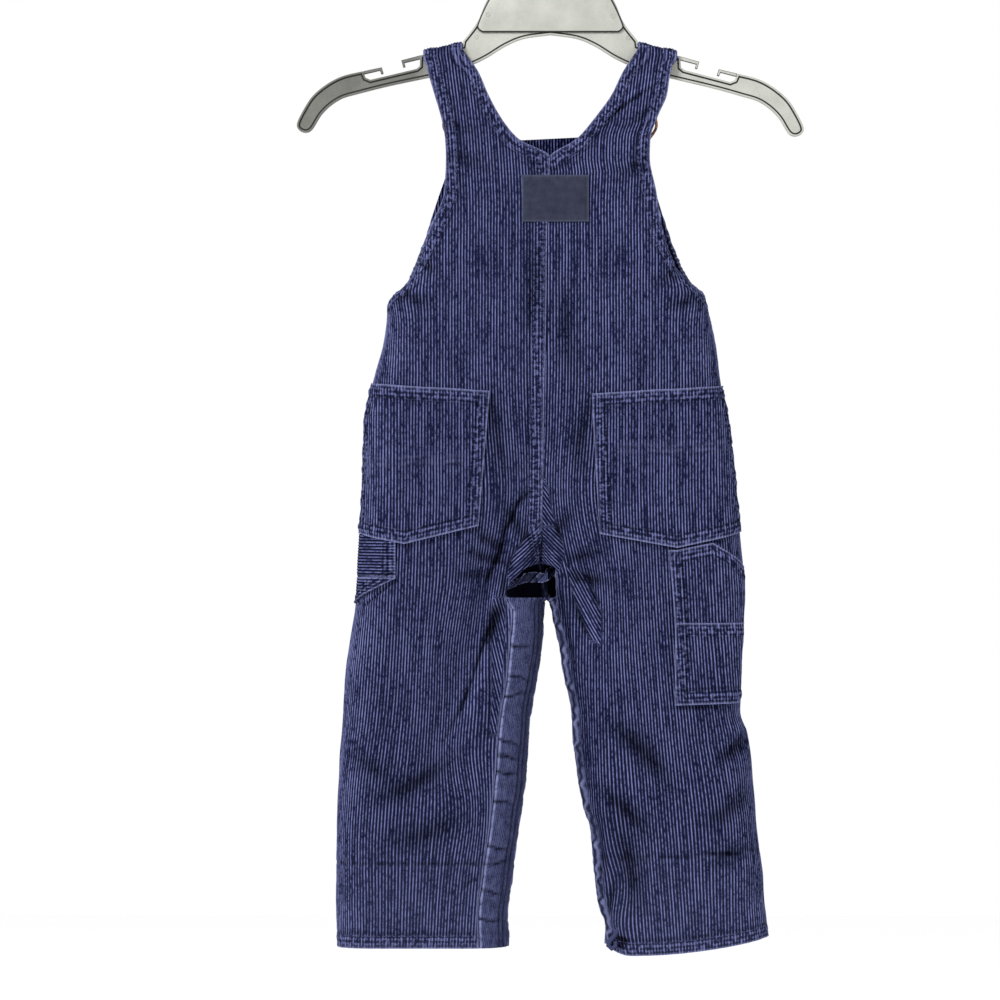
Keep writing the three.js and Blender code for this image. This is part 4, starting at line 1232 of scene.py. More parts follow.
def twill_material():
    """Brushed cotton twill: a fine steep rib, mottled, made paler where the strips are rubbed and where
    they carry painted highlights.
    """
    material, tree, shader = new_material("twill", 0.9, CLOTH_SPECULAR, CLOTH_SHEEN)
    places = cloth_places(tree)
    parts = node_parts(tree, places)
    across = node_times(tree, parts[0], 2 * math.pi / (TWILL_PITCH * METRE))
    down = node_times(tree, parts[1], 0.25 * math.pi / (TWILL_PITCH * METRE))
    rib = node_math(tree, "SINE", node_plus(tree, across, down))
    rib = node_math(tree, "MULTIPLY_ADD", rib, 0.5, 0.5)
    blotch = node_fabric(tree, places, (420, 140), 3.0, 0.65)
    fleck = node_fabric(tree, places, (1500, 700))
    tint = node_sum(tree, ((rib, 0.5), (blotch, 1.9), (fleck, 1.3)), 1.40, clamp=True)
    colour = node_mix(tree, tint, TWILL_DARK, TWILL_LIGHT)
    # Paler where rubbed, and where painted highlights lie
    pale_share = node_plus(tree, fleck, 0.3)
    pale_share = node_times(tree, node_attribute(tree, "wear_and_highlight"), pale_share, clamp=True)
    colour = node_shaded(tree, node_mix(tree, pale_share, colour, CORD_WORN_AND_HIGHLIGHT))
    finish_shader(tree, shader, colour, node_plus(tree, rib, blotch), 0.5, 0.2)
    return material


TWILL = twill_material()
PLACKET_TOP = {"left": -424.6, "right": -425.8}
PLACKET_TUCK = 2.2
PLACKET_STEP = 1.5
PLACKET_CLOTH = 1.1
# The right strip's foot is curled up
FOOT_CURL = ((41.0, -623.0), (38.6, -627.6), (35.6, -630.8), (34.8, -633.6), (36.8, -635.4),
             (39.2, -634.0), (39.4, -631.0))
FOOT_CURL_DEPTH = -12.0
FOOT_CURL_RADIUS = 1.5
FOOT_CURL_SIDES = 10
# Puckers across the left strip, each with its height at the back's edge and its slope
PUCKERS = ((-453.1, 0.13), (-470.4, 0.28), (-483.9, -0.15), (-508.8, 0.35), (-519, 0.2), (-529, 0.12),
           (-546, 0.2), (-573, 0.25), (-585, -0.1), (-600, 0.2), (-617, 0.15))
for number, half in enumerate(("left", "right")):
    shape = SHAPE[half]
    sign = SIGN[half]
    sections = []
    for z in heights_between(PLACKET_TOP[half], HEM[half], PLACKET_STEP):
        inner = float(shape["seam"](z))
        outer = float(shape["edge"](z)) + sign * PLACKET_TUCK
        sections.append(section(half, -1, z, inner, outer))
    sheet = sheet_from(half, -1, sections)
    s, v = flat_grid(sheet)
    z = sheet["place"][..., 2]
    layers = new_layers(sheet)
    seed = SEEDS["placket"] + SEED_STEP * number
    under_back = sheet["high"][:, None] - s
    layers["relief"] -= 2.0 * (1 - smooth(under_back, 1.2, 4.4))
    if half == "left":
        layers["relief"] += 0.35 * surface_noise(s, v, seed)
        across = under_back - PLACKET_TUCK
        # Each pucker: painted shade in its fold and in a softer trough below it, with a pale band
        # beside the fold.
        for height, slope in PUCKERS:
            dip = z - height + slope * across + 0.5 * np.sin(across / 2.3 + height)
            share = smooth(across, -1.2, 0.8) * (1 - 0.9 * smooth(across, 9, 17))
            fold = bell(dip, 0.9) * share
            layers["relief"] -= 0.7 * fold
            layers["painted_shading"] -= 0.85 * fold
            layers["wear_and_highlight"] += 0.12 * bell(dip - 2.2, 1.3) * share
            soft = bell(dip + 7.5, 1.6) * share
            layers["relief"] -= 0.3 * soft
            layers["painted_shading"] -= 0.25 * soft
        stitched = np.clip(0.75 + 0.8 * waves(v, STITCH_LENGTHS, seed + 8), 0, 1)
        layers["wear_and_highlight"] += 2.4 * stitched * bell(across - 1.1, 0.65)
        # A painted shadow beside the stitched edge.
        layers["painted_shading"] -= 0.6 * bell(across + 0.2, 0.6)
        from_fold = sheet["place"][..., 0].max(axis=1, keepdims=True) - sheet["place"][..., 0]
        # Two folds along the strip, with painted shade in their troughs.
        for place, depth in ((2.0, 0.4), (4.4, 0.5)):
            drift = from_fold - place - 0.4 * waves(v, (31, 53), seed + 3)
            layers["relief"] -= depth * bell(drift, 0.6)
            layers["painted_shading"] -= 0.6 * bell(drift, 0.6)
        # Gathers along the strip's top, with painted light on their crests and painted shade between
        # them.
        gathers = bell(v - sheet["v"][0], 3.2)
        gathers *= waves(s, GATHER_LENGTHS, seed + 4)
        layers["relief"] += 0.9 * gathers
        layers["painted_shading"] += 0.4 * gathers
    else:
        # The rolled edge: painted highlights along the lit turns of its twist, painted shade on the
        # turns away from the light, and a painted shadow line where the roll meets the panel.
        inward = sheet["place"][..., 0] - sheet["place"][..., 0].min(axis=1, keepdims=True)
        roll = np.sin(np.clip((inward + 0.8) / 5.0, 0, 1) * math.pi)
        ripple = waves(v, ROLL_LENGTHS, seed + 5)
        layers["relief"] += (0.9 + 0.7 * ripple) * roll
        twist = np.sin(2 * math.pi * (inward / 3.6 + v / 40.0) + 1.8 * ripple)
        layers["wear_and_highlight"] += np.clip(0.8 * twist + 0.3 * ripple, 0, 1) * roll
        layers["painted_shading"] -= 0.75 * np.clip(-twist, 0, 1)
        layers["painted_shading"] -= 0.5 * bell(inward - 4.4, 0.7)
    layers["relief"] += edge_relief(sheet, 0.3)
    piece = cloth_mesh("placket_strip_" + half, sheet, layers, TWILL, thickness=PLACKET_CLOTH)
    if half == "right":
        builder = bmesh.new()
        builder.from_mesh(piece.data)
        add_tube(builder, [(x, FOOT_CURL_DEPTH, z) for x, z in FOOT_CURL], FOOT_CURL_RADIUS,
                 FOOT_CURL_SIDES, False)
        builder.to_mesh(piece.data)
        builder.free()
    declare(piece, "twill", "placket_" + half, "front_panel_" + half, *cut_size(sheet))

# Crotch tape
# A strip of the facing behind the inseam corner of the fronts, curled and ruffled, which is
# seen through the open crotch.
TAPE_COLUMNS = ("x", "top", "bottom")
TAPE_OUTLINE = (
    (-26.5, -417.5, -420.5),
    (-24, -416.0, -420.0),
    (-19.5, -413.6, -417.6),
    (-13.7, -409.8, -416),
    (-9, -409.4, -415.8),
    (-4, -410.2, -415.8),
    (-2, -407.2, -414.8),
    (0.5, -406.4, -413.6),
    (2.6, -408.2, -411.5),
)
TAPE_BEHIND = 2.4
TAPE_CLEAR = 3.5
TAPE_ROWS = 15
TAPE_FLAT = (0.034, 0.0100)
TAPE_TOP = 410.0
TAPE_WIDE = 7.0
TAPE_BULGE = 1.2
TAPE_CLOTH = 0.9
tape_x = np.linspace(TAPE_OUTLINE[0][0], TAPE_OUTLINE[-1][0], 90)
tape_top = track(TAPE_COLUMNS, TAPE_OUTLINE, "top")(tape_x)
tape_bottom = track(TAPE_COLUMNS, TAPE_OUTLINE, "bottom")(tape_x)
sections = []
for part in np.linspace(0, 1, TAPE_ROWS):
    z = tape_top + (tape_bottom - tape_top) * part
    depths = []
    for x, height in zip(tape_x, z):
        half = "left" if x < float(SHAPE["left"]["seam"](height)) else "right"
        seam = float(SHAPE[half]["seam"](height))
        away = max(abs(x - seam) - TAPE_CLEAR, 0.0) * (1 if x > seam else -1)
        depths.append(float(cloth_depth(SHAPE[half], 1, height, np.array([seam + away]))[0]))
    y = np.array(depths) - TAPE_BEHIND
    bulge = TAPE_BULGE * math.sin(math.pi * part)
    sections.append({"x": tape_x, "y": y - bulge, "z": z, "s": tape_x.copy(), "low": tape_x[0],
                     "high": tape_x[-1], "v": TAPE_TOP + TAPE_WIDE * part})
sheet = sheet_from("right", -1, sections)
s, v = flat_grid(sheet)
layers = new_layers(sheet)
ruffle = waves(s + 0.8 * v, RUFFLE_LENGTHS, SEEDS["tape"])
layers["relief"] += 0.5 * ruffle
# Painted light lifts the tape out of the shade of the crotch, most on its left part, which lies deepest
# in shade; its ruffles get painted light on their crests and painted shade between.
painted_light_part = 1 - smooth(sheet["place"][..., 0], -11, -8)
layers["painted_shading"] += 1.5 + 2.4 * ruffle + painted_light_part * (2.2 + 2.0 * ruffle)
# Pale rims, and painted highlights on the ruffles' crests.
rim = np.minimum(v - TAPE_TOP, TAPE_TOP + TAPE_WIDE - v)
layers["wear_and_highlight"] += 1.3 * bell(rim, 0.6) + 0.25 * np.clip(ruffle, 0, 1)
piece = cloth_mesh("crotch_tape_strip", sheet, layers, TWILL, thickness=TAPE_CLOTH, coarse=2, skip=1)
declare(piece, "twill", "crotch_tape", "front_panel_left", TAPE_FLAT)

# Back pockets
# Patch pockets of corduroy, sewn to the back panels on three sides with two rows of stitches.
# Each has a double-stitched hem along its mouth and a shallow point at its foot.
POCKET_LIFT = 1.9
POCKET_CLOTH = 1.1
POCKET_STEP = 1.6
PATCH_SPREAD = 6.0
SIDE_CLEAR = 5.0


def line_through(points):
    xs, ys = zip(*points)
    return lambda t: np.interp(t, xs, ys)


def sewn_sheet(half, inner_x, top, bottom, row_step, outer_clear=SIDE_CLEAR):
    """A patch laid on a back panel: its rows run from its upper line to its lower line."""
    base = BACK[half]
    sign = SIGN[half]
    heights = base["place"][:, len(base["columns"]) // 2, 2]
    below = int(np.argmax(base["place"][:, 0, 1] < BEHIND)) + 4
    order = np.arange(len(heights) - 1, below, -1)
    s_inner = np.array([np.interp(sign * float(inner_x(heights[r])), sign * base["place"][r, :, 0],
                                  base["s"][r]) for r in order])
    levels = heights[order]
    low_at = lambda z: np.interp(z, levels, s_inner)
    high_at = lambda z: np.interp(z, levels, base["high"][order] - outer_clear)
    middle = (float(top(0.5)) + float(bottom(0.5))) / 2
    low_s, high_s = float(low_at(middle)), float(high_at(middle))
    first = math.floor((low_s - PATCH_SPREAD) / WALE) * WALE
    count = int((high_s + PATCH_SPREAD - first) / COLUMN) + 2
    columns = first + COLUMN * np.arange(count)
    span = float(top(0.5)) - float(bottom(0.5))
    rows = max(int(round(span / row_step)), 4) + 1
    place = np.zeros((rows, count, 3))
    normal = np.zeros((rows, count, 3))
    s = np.zeros((rows, count))
    v = np.zeros((rows, count))
    low = np.zeros(rows)
    high = np.zeros(rows)
    for r in range(rows):
        t = r / (rows - 1)
        level_low = float(top(0.0)) + (float(bottom(0.0)) - float(top(0.0))) * t
        level_high = float(top(1.0)) + (float(bottom(1.0)) - float(top(1.0))) * t
        low[r] = float(low_at(level_low))
        high[r] = float(high_at(level_high))
        s[r] = np.clip(columns, low[r], high[r])
        part = (s[r] - low[r]) / (high[r] - low[r])
        z = top(part) + (bottom(part) - top(part)) * t
        v[r] = -z
        row = np.interp(z, levels, order)
        column = np.clip((s[r] - base["columns"][0]) / COLUMN, 0, len(base["columns"]) - 1.001)
        r0 = np.clip(np.floor(row).astype(int), 0, len(heights) - 2)
        c0 = np.floor(column).astype(int)
        fr = (row - r0)[:, None]
        fc = (column - c0)[:, None]
        for target, name in ((place, "place"), (normal, "normal")):
            grid = base[name]
            upper = grid[r0, c0] * (1 - fc) + grid[r0, c0 + 1] * fc
            lower = grid[r0 + 1, c0] * (1 - fc) + grid[r0 + 1, c0 + 1] * fc
            target[r] = upper * (1 - fr) + lower * fr
    normal /= np.linalg.norm(normal, axis=2, keepdims=True)
    return {"half": half, "face": -1, "columns": columns, "place": place, "normal": normal,
            "s": s, "v": v, "low": low, "high": high}


def patch_distances(sheet):
    """Distances from a patch's four edges, each as a field over the patch."""
    v = sheet["v"]
    s = sheet["s"]
    return {"top": v - v[0][None, :], "foot": v[-1][None, :] - v,
            "inner": s - sheet["low"][:, None], "outer": sheet["high"][:, None] - s}


def sewn_down(layers, distances, edges, press=0.45):
    for name in edges:
        layers["relief"] -= press * bell(distances[name], 1.6)


EDGE_SEEDS = {"inner": 1, "outer": 2, "foot": 3, "top": 4}


def sewn_patch(sheet, layers, seed, bands, held_edges):
    """A patch's turned edges. Each band has its edge, width, rows, height and wear."""
    distances = patch_distances(sheet)
    for edge, width, rows, raised, edge_wear in bands:
        along = sheet["v" if edge in ("inner", "outer") else "s"]
        sewn_band(layers, distances[edge], along, seed + EDGE_SEEDS[edge], width=width, raised=raised,
                  rows=rows, edge_wear=edge_wear)
    sewn_down(layers, distances, held_edges)
    return distances


POCKET_BANDS = (
    ("inner", 6.6, (1.3, 5.6), 0.3, 0.7),
    ("outer", 6.0, (1.3, 5.2), 0.2, 0.7),
    ("foot", 6.8, (1.3, 5.8), 0.3, 1.0),
    ("top", 7.6, (1.2, 6.8), 0.5, 1.0),
)
POCKETS = {
    "left": {
        "inner": line_through(((-386, -43.5), (-300, -36.3))),
        "top": line_through(((0, -300.8), (1, -296.2))),
        "foot": line_through(((0, -381.4), (0.56, -392.2), (1, -385.5))),
        "lines": ((-339.5, -343.5), (-343.5, -346.5)),
    },
    "right": {
        "inner": line_through(((-388, 29.2), (-302, 24.6))),
        "top": line_through(((0, -302.4), (1, -297.6))),
        "foot": line_through(((0, -386.2), (0.5, -394.6), (1, -384.5))),
        "lines": ((-335.0, -333.0), (-338.6, -336.6)),
    },
}
for number, half in enumerate(("left", "right")):
    facts = POCKETS[half]
    sheet = sewn_sheet(half, facts["inner"], facts["top"], facts["foot"], POCKET_STEP)
    s, v = flat_grid(sheet)
    layers = new_layers(sheet)
    seed = SEEDS["pocket"] + SEED_STEP * number
    layers["relief"] += 0.5 * surface_noise(s, v, seed)
    distances = sewn_patch(sheet, layers, seed, POCKET_BANDS, ("inner", "outer", "foot"))
    part = (s - sheet["low"][:, None]) / (sheet["high"] - sheet["low"])[:, None]
    for at_inner, at_outer in facts["lines"]:
        gap = -v - (at_inner + (at_outer - at_inner) * part)
        shown = np.clip(0.6 + waves(s, (9, 14, 23), seed + 5), 0, 1) * smooth(distances["inner"], 7, 14)
        # Each line: a shallow groove with painted shade in it and a pale line beside it.
        layers["relief"] -= 0.35 * bell(gap, 0.8) * shown
        layers["painted_shading"] -= 0.4 * bell(gap, 0.8) * shown
        layers["wear_and_highlight"] += 0.22 * bell(gap - 1.0, 0.8) * shown
    layers["relief"] += edge_relief(sheet, 0.3) + WALE_HEIGHT * wale_ridge(s)
    piece = cloth_mesh("seat_pocket_" + half, sheet, layers, CORDUROY, shift=POCKET_LIFT,
                       thickness=POCKET_CLOTH)
    declare(piece, "corduroy", "back_pocket_" + half, "back_panel_" + half, *cut_size(sheet))

# Tool pocket
# A long patch of corduroy on the right leg with a slanted mouth, under the back pocket, and a
# second patch sewn over its lower half.
TOOL_INNER = line_through(((-489.6, 74.4), (-439.2, 74.6), (-410.9, 72.1), (-395, 70.4)))
TOOL_TOP = line_through(((0, -395.8), (0.1, -395.9), (0.52, -391.6), (1, -407)))
TOOL_FOOT = line_through(((0, -489.0), (1, -487.4)))
TOOL_LOWER_TOP = line_through(((0, -439.4), (1, -439.4)))
OVERLAY_LIFT = POCKET_LIFT + 1.6
TOOL_BANDS = (
    ("inner", 6.4, (1.3, 5.4), 0.3, 0.9),
    ("foot", 8.6, (1.2, 7.8), 0.3, 1.0),
    ("top", 8.0, (1.2, 7.2), 0.4, 1.0),
)
TOOL_PATCHES = (
    ("tool_pocket_patch", "tool_pocket", TOOL_TOP, POCKET_LIFT, 6.5, ("inner", "outer")),
    ("tool_pocket_overlay", "tool_pocket_lower", TOOL_LOWER_TOP, OVERLAY_LIFT, 9.5,
     ("inner", "outer", "foot")),
)
for number, (label, node, top, lift, clear, held_edges) in enumerate(TOOL_PATCHES):
    sheet = sewn_sheet("right", TOOL_INNER, top, TOOL_FOOT, POCKET_STEP, clear)
    s, v = flat_grid(sheet)
    layers = new_layers(sheet)
    seed = SEEDS["tool"] + SEED_STEP * number
    layers["relief"] += 0.4 * surface_noise(s, v, seed)
    sewn_patch(sheet, layers, seed, TOOL_BANDS, held_edges)
    layers["relief"] += edge_relief(sheet, 0.3) + WALE_HEIGHT * wale_ridge(s)
    piece = cloth_mesh(label, sheet, layers, CORDUROY, shift=lift, thickness=POCKET_CLOTH)
    declare(piece, "corduroy", node, "back_panel_right", *cut_size(sheet))

# Hammer loop
# A short strap of corduroy cut across the wales, tacked under the left back pocket. It runs
# outward to the side seam and its lower edge slants down.
LOOP_INNER = line_through(((-430, -92.9), (-380, -92.9)))
LOOP_TOP = line_through(((0, -391.0), (1, -386.5)))
LOOP_FOOT = line_through(((0, -412.8), (1, -428.4)))
LOOP_STEP = 0.45
LOOP_TACK = 410.4
sheet = sewn_sheet("left", LOOP_INNER, LOOP_TOP, LOOP_FOOT, LOOP_STEP)
s, v = flat_grid(sheet)
distances = patch_distances(sheet)
layers = new_layers(sheet)
layers["relief"] += 0.3 * surface_noise(s, v, SEEDS["loop"])
sewn_band(layers, distances["foot"], s, SEEDS["loop"] + 1, width=4.0, rows=(1.6,), raised=0.3)
sewn_band(layers, distances["inner"], v, SEEDS["loop"] + 2, width=4.0, rows=(1.5,), raised=0.3,
          edge_wear=0.8)
tack = v - (LOOP_TACK + 0.05 * distances["inner"])
# The tack: a groove with painted shade in it and a pale line beside it.
layers["relief"] -= 0.5 * bell(tack, 0.7)
layers["wear_and_highlight"] += 0.8 * bell(tack - 1.1, 0.8)
layers["painted_shading"] -= 0.5 * bell(tack, 0.8)
sewn_down(layers, distances, ("inner", "outer"))
layers["relief"] += edge_relief(sheet, 0.3) + WALE_HEIGHT * wale_ridge(v)
piece = cloth_mesh("hammer_loop_strap", sheet, layers, CORDUROY, shift=POCKET_LIFT,
                   thickness=POCKET_CLOTH, turned=True, skip=4)
declare(piece, "corduroy", "hammer_loop", "back_panel_left", *cut_size(sheet))

# Patch at the back
# A plain rectangular patch of dark satin weave at the top of the centre back seam, sewn on
# all four sides, with nothing on it.
PATCH = {"left": -17.0, "right": 23.0, "top": -171.0, "foot": -199.0}
PATCH_LIFT = 1.9
PATCH_FLAT = (0.040, 0.028)
PATCH_STEP = 1.4
PATCH_POINTS = 90
PATCH_CLOTH = 0.7
PATCH_DARK = (0.002, 0.003, 0.008, 1)
PATCH_LIGHT = (0.028, 0.031, 0.050, 1)
PATCH_WORN = (0.06, 0.065, 0.10, 1)


def patch_material():
    material, tree, shader = new_material("patch", 0.62, 0.03)
    places = cloth_places(tree)
    thread = node_fabric(tree, places, (900, 3800))
    blotch = node_noise(tree, places, 190.0, 3.0)
    tint = node_sum(tree, ((thread, 0.7), (blotch, 0.6)), 0.3, clamp=True)
    colour = node_mix(tree, tint, PATCH_DARK, PATCH_LIGHT)
    pale_share = node_times(tree, node_attribute(tree, "wear_and_highlight"), 0.5, clamp=True)
    colour = node_mix(tree, pale_share, colour, PATCH_WORN)
    finish_shader(tree, shader, colour, thread, 0.4, 0.1)
    return material


PATCH_WEAVE = patch_material()
sections = []
for z in np.arange(PATCH["top"], PATCH["foot"] - 0.1, -PATCH_STEP):
    x = np.linspace(PATCH["left"], PATCH["right"], PATCH_POINTS)
    on_left = cloth_depth(SHAPE["left"], -1, z, x)
    on_right = cloth_depth(SHAPE["right"], -1, z, x)
    y = -np.where(x < float(SHAPE["left"]["edge"](z)), on_left, on_right)
    sections.append({"x": x, "y": y, "z": np.full(PATCH_POINTS, z), "s": x.copy(), "low": x[0],
                     "high": x[-1], "v": -z})
sheet = sheet_from("right", -1, sections)
s, v = flat_grid(sheet)
layers = new_layers(sheet)
rim = np.minimum(np.minimum(s - PATCH["left"], PATCH["right"] - s),
                 np.minimum(v + PATCH["top"], -PATCH["foot"] - v))
layers["relief"] += 0.18 * surface_noise(3 * s, 3 * v, SEEDS["patch"])
layers["relief"] += 0.25 * waves(s, (4.1, 6.3), SEEDS["patch"] + 1) * bell(rim, 2.5)
layers["relief"] -= 0.3 * bell(rim - 1.4, 0.6) + 0.5 * bell(rim, 0.6)
layers["wear_and_highlight"] += 0.5 * bell(rim, 0.8)
piece = cloth_mesh("plain_patch", sheet, layers, PATCH_WEAVE, shift=PATCH_LIFT,
                   thickness=PATCH_CLOTH)
declare(piece, "patch", "back_patch", "back_panel_left", PATCH_FLAT)

# Sewing thread
# Rows of short navy stitches lie in the grooves of the sewn bands. A Geometry Nodes tree
# spaces them along the rows and lays each one along its row.
STITCH_SPACING = 3.1
STITCH_LENGTH = 2.3
STITCH_RADIUS = 0.27
STITCH_PROUD = 0.12
LONGEST_STEP = 12
THREAD_DARK = (0.012, 0.014, 0.045, 1)
THREAD_LIGHT = (0.05, 0.055, 0.12, 1)
THREAD_MATERIAL, thread_tree, thread_shader = new_material("thread", 0.8, 0.1)
thread_tone = node_noise(thread_tree, thread_tree.nodes.new("ShaderNodeTexCoord").outputs["Object"],
                         900.0)
thread_colour = node_mix(thread_tree, thread_tone, THREAD_DARK, THREAD_LIGHT)
thread_tree.links.new(thread_colour, thread_shader.inputs["Base Color"])


def seam_rows(surface, field, value, by_column=False, every=2):
    """Lines on a surface where a field of distances has one value."""
    if by_column:
        field = field.T
        surface = surface.transpose(1, 0, 2)
    lines = []
    line = []
    for r in range(0, field.shape[0], every):
        crossing = np.nonzero((field[r, :-1] - value) * (field[r, 1:] - value) < 0)[0]
        if len(crossing):
            c = crossing[0]
            share = (value - field[r, c]) / (field[r, c + 1] - field[r, c])
            point = surface[r, c] * (1 - share) + surface[r, c + 1] * share
            if line and np.linalg.norm(point - line[-1]) > LONGEST_STEP:
                lines.append(line)
                line = []
            line.append(point)
        elif line:
            lines.append(line)
            line = []
    lines.append(line)
    return [np.array(points) for points in lines if len(points) > 3]


def capsule_mesh():
    """One stitch along X, with its ends rounded."""
    builder = bmesh.new()
    bmesh.ops.create_icosphere(builder, subdivisions=1, radius=STITCH_RADIUS * METRE)
    straight = (STITCH_LENGTH / 2 - STITCH_RADIUS) * METRE
    for vertex in builder.verts:
        vertex.co.x += math.copysign(straight, vertex.co.x)
    mesh = bpy.data.meshes.new("stitch")
    builder.to_mesh(mesh)
    builder.free()
    return add_object("stitch", mesh)


def stitch_tree():
    tree = bpy.data.node_groups.new("stitch rows", "GeometryNodeTree")
    tree.interface.new_socket("Rows", in_out="INPUT", socket_type="NodeSocketGeometry")
    spacing = tree.interface.new_socket("Spacing", in_out="INPUT", socket_type="NodeSocketFloat")
    stitch = tree.interface.new_socket("Stitch", in_out="INPUT", socket_type="NodeSocketObject")
    tree.interface.new_socket("Stitches", in_out="OUTPUT", socket_type="NodeSocketGeometry")
    start = tree.nodes.new("NodeGroupInput")
    end = tree.nodes.new("NodeGroupOutput")
    curve = tree.nodes.new("GeometryNodeMeshToCurve")
    resample = tree.nodes.new("GeometryNodeResampleCurve")
    resample.mode = "LENGTH"
    tangent = tree.nodes.new("GeometryNodeInputTangent")
    align = tree.nodes.new("FunctionNodeAlignRotationToVector")
    align.axis = "X"
    source = tree.nodes.new("GeometryNodeObjectInfo")
    instances = tree.nodes.new("GeometryNodeInstanceOnPoints")
    realize = tree.nodes.new("GeometryNodeRealizeInstances")
    material = tree.nodes.new("GeometryNodeSetMaterial")
    material.inputs["Material"].default_value = THREAD_MATERIAL
    links = (
        (start.outputs["Rows"], curve.inputs["Mesh"]),
        (curve.outputs["Curve"], resample.inputs["Curve"]),
        (start.outputs["Spacing"], resample.inputs["Length"]),
        (resample.outputs["Curve"], instances.inputs["Points"]),
        (start.outputs["Stitch"], source.inputs["Object"]),
        (source.outputs["Geometry"], instances.inputs["Instance"]),
        (tangent.outputs["Tangent"], align.inputs["Vector"]),
        (align.outputs["Rotation"], instances.inputs["Rotation"]),
        (instances.outputs["Instances"], realize.inputs["Geometry"]),
        (realize.outputs["Geometry"], material.inputs["Geometry"]),
        (material.outputs["Geometry"], end.inputs["Stitches"]),
    )
    for output, socket in links:
        tree.links.new(output, socket)
    return tree, spacing.identifier, stitch.identifier


STITCH_TREE, SPACING_SOCKET, STITCH_SOCKET = stitch_tree()
STITCH = capsule_mesh()


def sew(name, lines):
    """Stitches along lines, as one plain mesh that goes with the cloth that it holds."""
    points = np.concatenate(lines) * METRE
    edges = []
    start = 0
    for line in lines:
        edges += [(start + i, start + i + 1) for i in range(len(line) - 1)]
        start += len(line)
    mesh = bpy.data.meshes.new(name + "_rows")
    mesh.from_pydata(points.tolist(), edges, [])
    rows = add_object(name + "_rows", mesh)
    modifier = rows.modifiers.new("stitches", "NODES")
    modifier.node_group = STITCH_TREE
    modifier[SPACING_SOCKET] = STITCH_SPACING * METRE
    modifier[STITCH_SOCKET] = STITCH
    graph = bpy.context.evaluated_depsgraph_get()
    graph.update()
    result = bpy.data.meshes.new_from_object(rows.evaluated_get(graph))
    result.name = name
    result.shade_smooth()
    piece = add_object(name, result)
    rows.modifiers.clear()
    bpy.data.objects.remove(rows)
    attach(piece, "root")
    return piece


for half in SIGN:
    sheet = BACK[half]
    layers = BACK_LAYERS[half]
    s, v = flat_grid(sheet)
    surface = sheet["place"] + sheet["normal"] * (layers["relief"] + STITCH_PROUD)[..., None]
    lines = []
    for name, top, foot, places in (
            ("low", ABOVE_STRAP, NECK_FOOT, BAND_ROWS),
            ("high", ABOVE_STRAP, ARMHOLE_END, BAND_ROWS),
            ("low", NECK_POINT - 8, LEG_TOP, FELL_ROWS if half == "left" else ())):
        edge = edge_line(sheet, name, top, foot)
        distance, _, _ = line_distance(s, -v, edge)
        shown = (-v <= edge[:, 1].max()) & (-v >= edge[:, 1].min())
        field = np.where(shown, distance, FAR)
        step = -1 if name == "high" else 1
        for place in places:
            lines += seam_rows(surface[:, ::step], field[:, ::step], place)
    lines += seam_rows(surface, sheet["v"][-1] - v, HEM_ROWS[0], by_column=True, every=8)
    sew("back_stitches_" + half, lines)

# Hanger
# A child's hanger moulded in grey plastic, in one piece: a pale raised middle, two arms with a
# bead along their edges, notches with fingers for the straps, and a hook. Distances out from
# the middle and heights, the same for both arms, but the right one droops a little.
HANGER_SPAN = 152.0
RIGHT_DROOP = 2.4
DROOP_FROM = 54.0
# Rings of each slab: inset, half thickness and a share of painted shadow, which is black on the floor
# of the arms' groove and round the edges of the fingers and the middle plate.
ARM_RINGS = ((0.0, 2.1, 0), (0.35, 2.5, 0), (1.05, 2.5, 0), (1.25, 1.7, 1), (1.95, 1.7, 1),
             (2.1, 2.0, 0))
FINGER_RINGS = ((0.0, 1.6, 1), (0.35, 2.0, 0))
PLATE_RINGS = ((0.0, 3.2, 1), (0.75, 3.9, 1), (0.95, 4.0, 0))
MARKS = ((-37.7, -73.6, 4.0), (37.7, -74.4, 4.0), (-44.4, -87.0, 2.0), (46.9, -87.5, 2.0))
MARK_RADIUS = 1.1
MARK_WIRE = 0.25
MARK_POINTS = 14
MARK_SIDES = 6
ARM_TOP = ((6, -45), (20, -48), (31, -54), (38.8, -66), (44, -78), (52.5, -89.3))
STRAP_REST = ((52.9, -92.1), (78.4, -98.1))
NOTCH = ((78.7, -104.6), (80.6, -106.2), (108.4, -112.8), (111.2, -111.6), (112.2, -109.4))
FINGERS = (
    ((77.9, -97.9), (89.8, -101), (88.6, -105.4), (87.2, -105), (87.9, -102.6), (77.9, -100.2)),
    ((112.4, -107.5), (101.6, -105.2), (100.4, -109), (101.8, -109.4), (102.7, -107.2),
     (112.4, -109.5)),
)
ARM_OVER = ((112.7, -107.6), (125, -110.5), (134.5, -115.3), (143.2, -122.5), (149, -131.3),
            (152.6, -139), (151.6, -142.8), (147.6, -144.6), (143.4, -142.6), (138.1, -134.2),
            (132.3, -128.3), (125, -123.8), (115.6, -121.1), (98.2, -116.7), (74.2, -111.6),
            (60, -108.4), (46.7, -103.5), (37.7, -99.1), (26.8, -92.4), (15.7, -87.9), (0, -85.7))
PLATE_EDGE = ((6, -45.5), (19.5, -48.5), (30.2, -54.6), (38, -66.2), (43.8, -79.2), (43.4, -82.6),
              (41, -84.3))
CURVE_STEPS = 5
PALE_PLASTIC = ((0.145, 0.147, 0.130, 1), (0.265, 0.267, 0.245, 1))
DARK_PLASTIC = ((0.030, 0.030, 0.027, 1), (0.095, 0.095, 0.086, 1))
GROOVE_SHADOW_PLASTIC = (0.006, 0.006, 0.006, 1)
# The left arm turns from pale to dark between these places, in metres
ARM_DARKENS = (-0.062, -0.085)


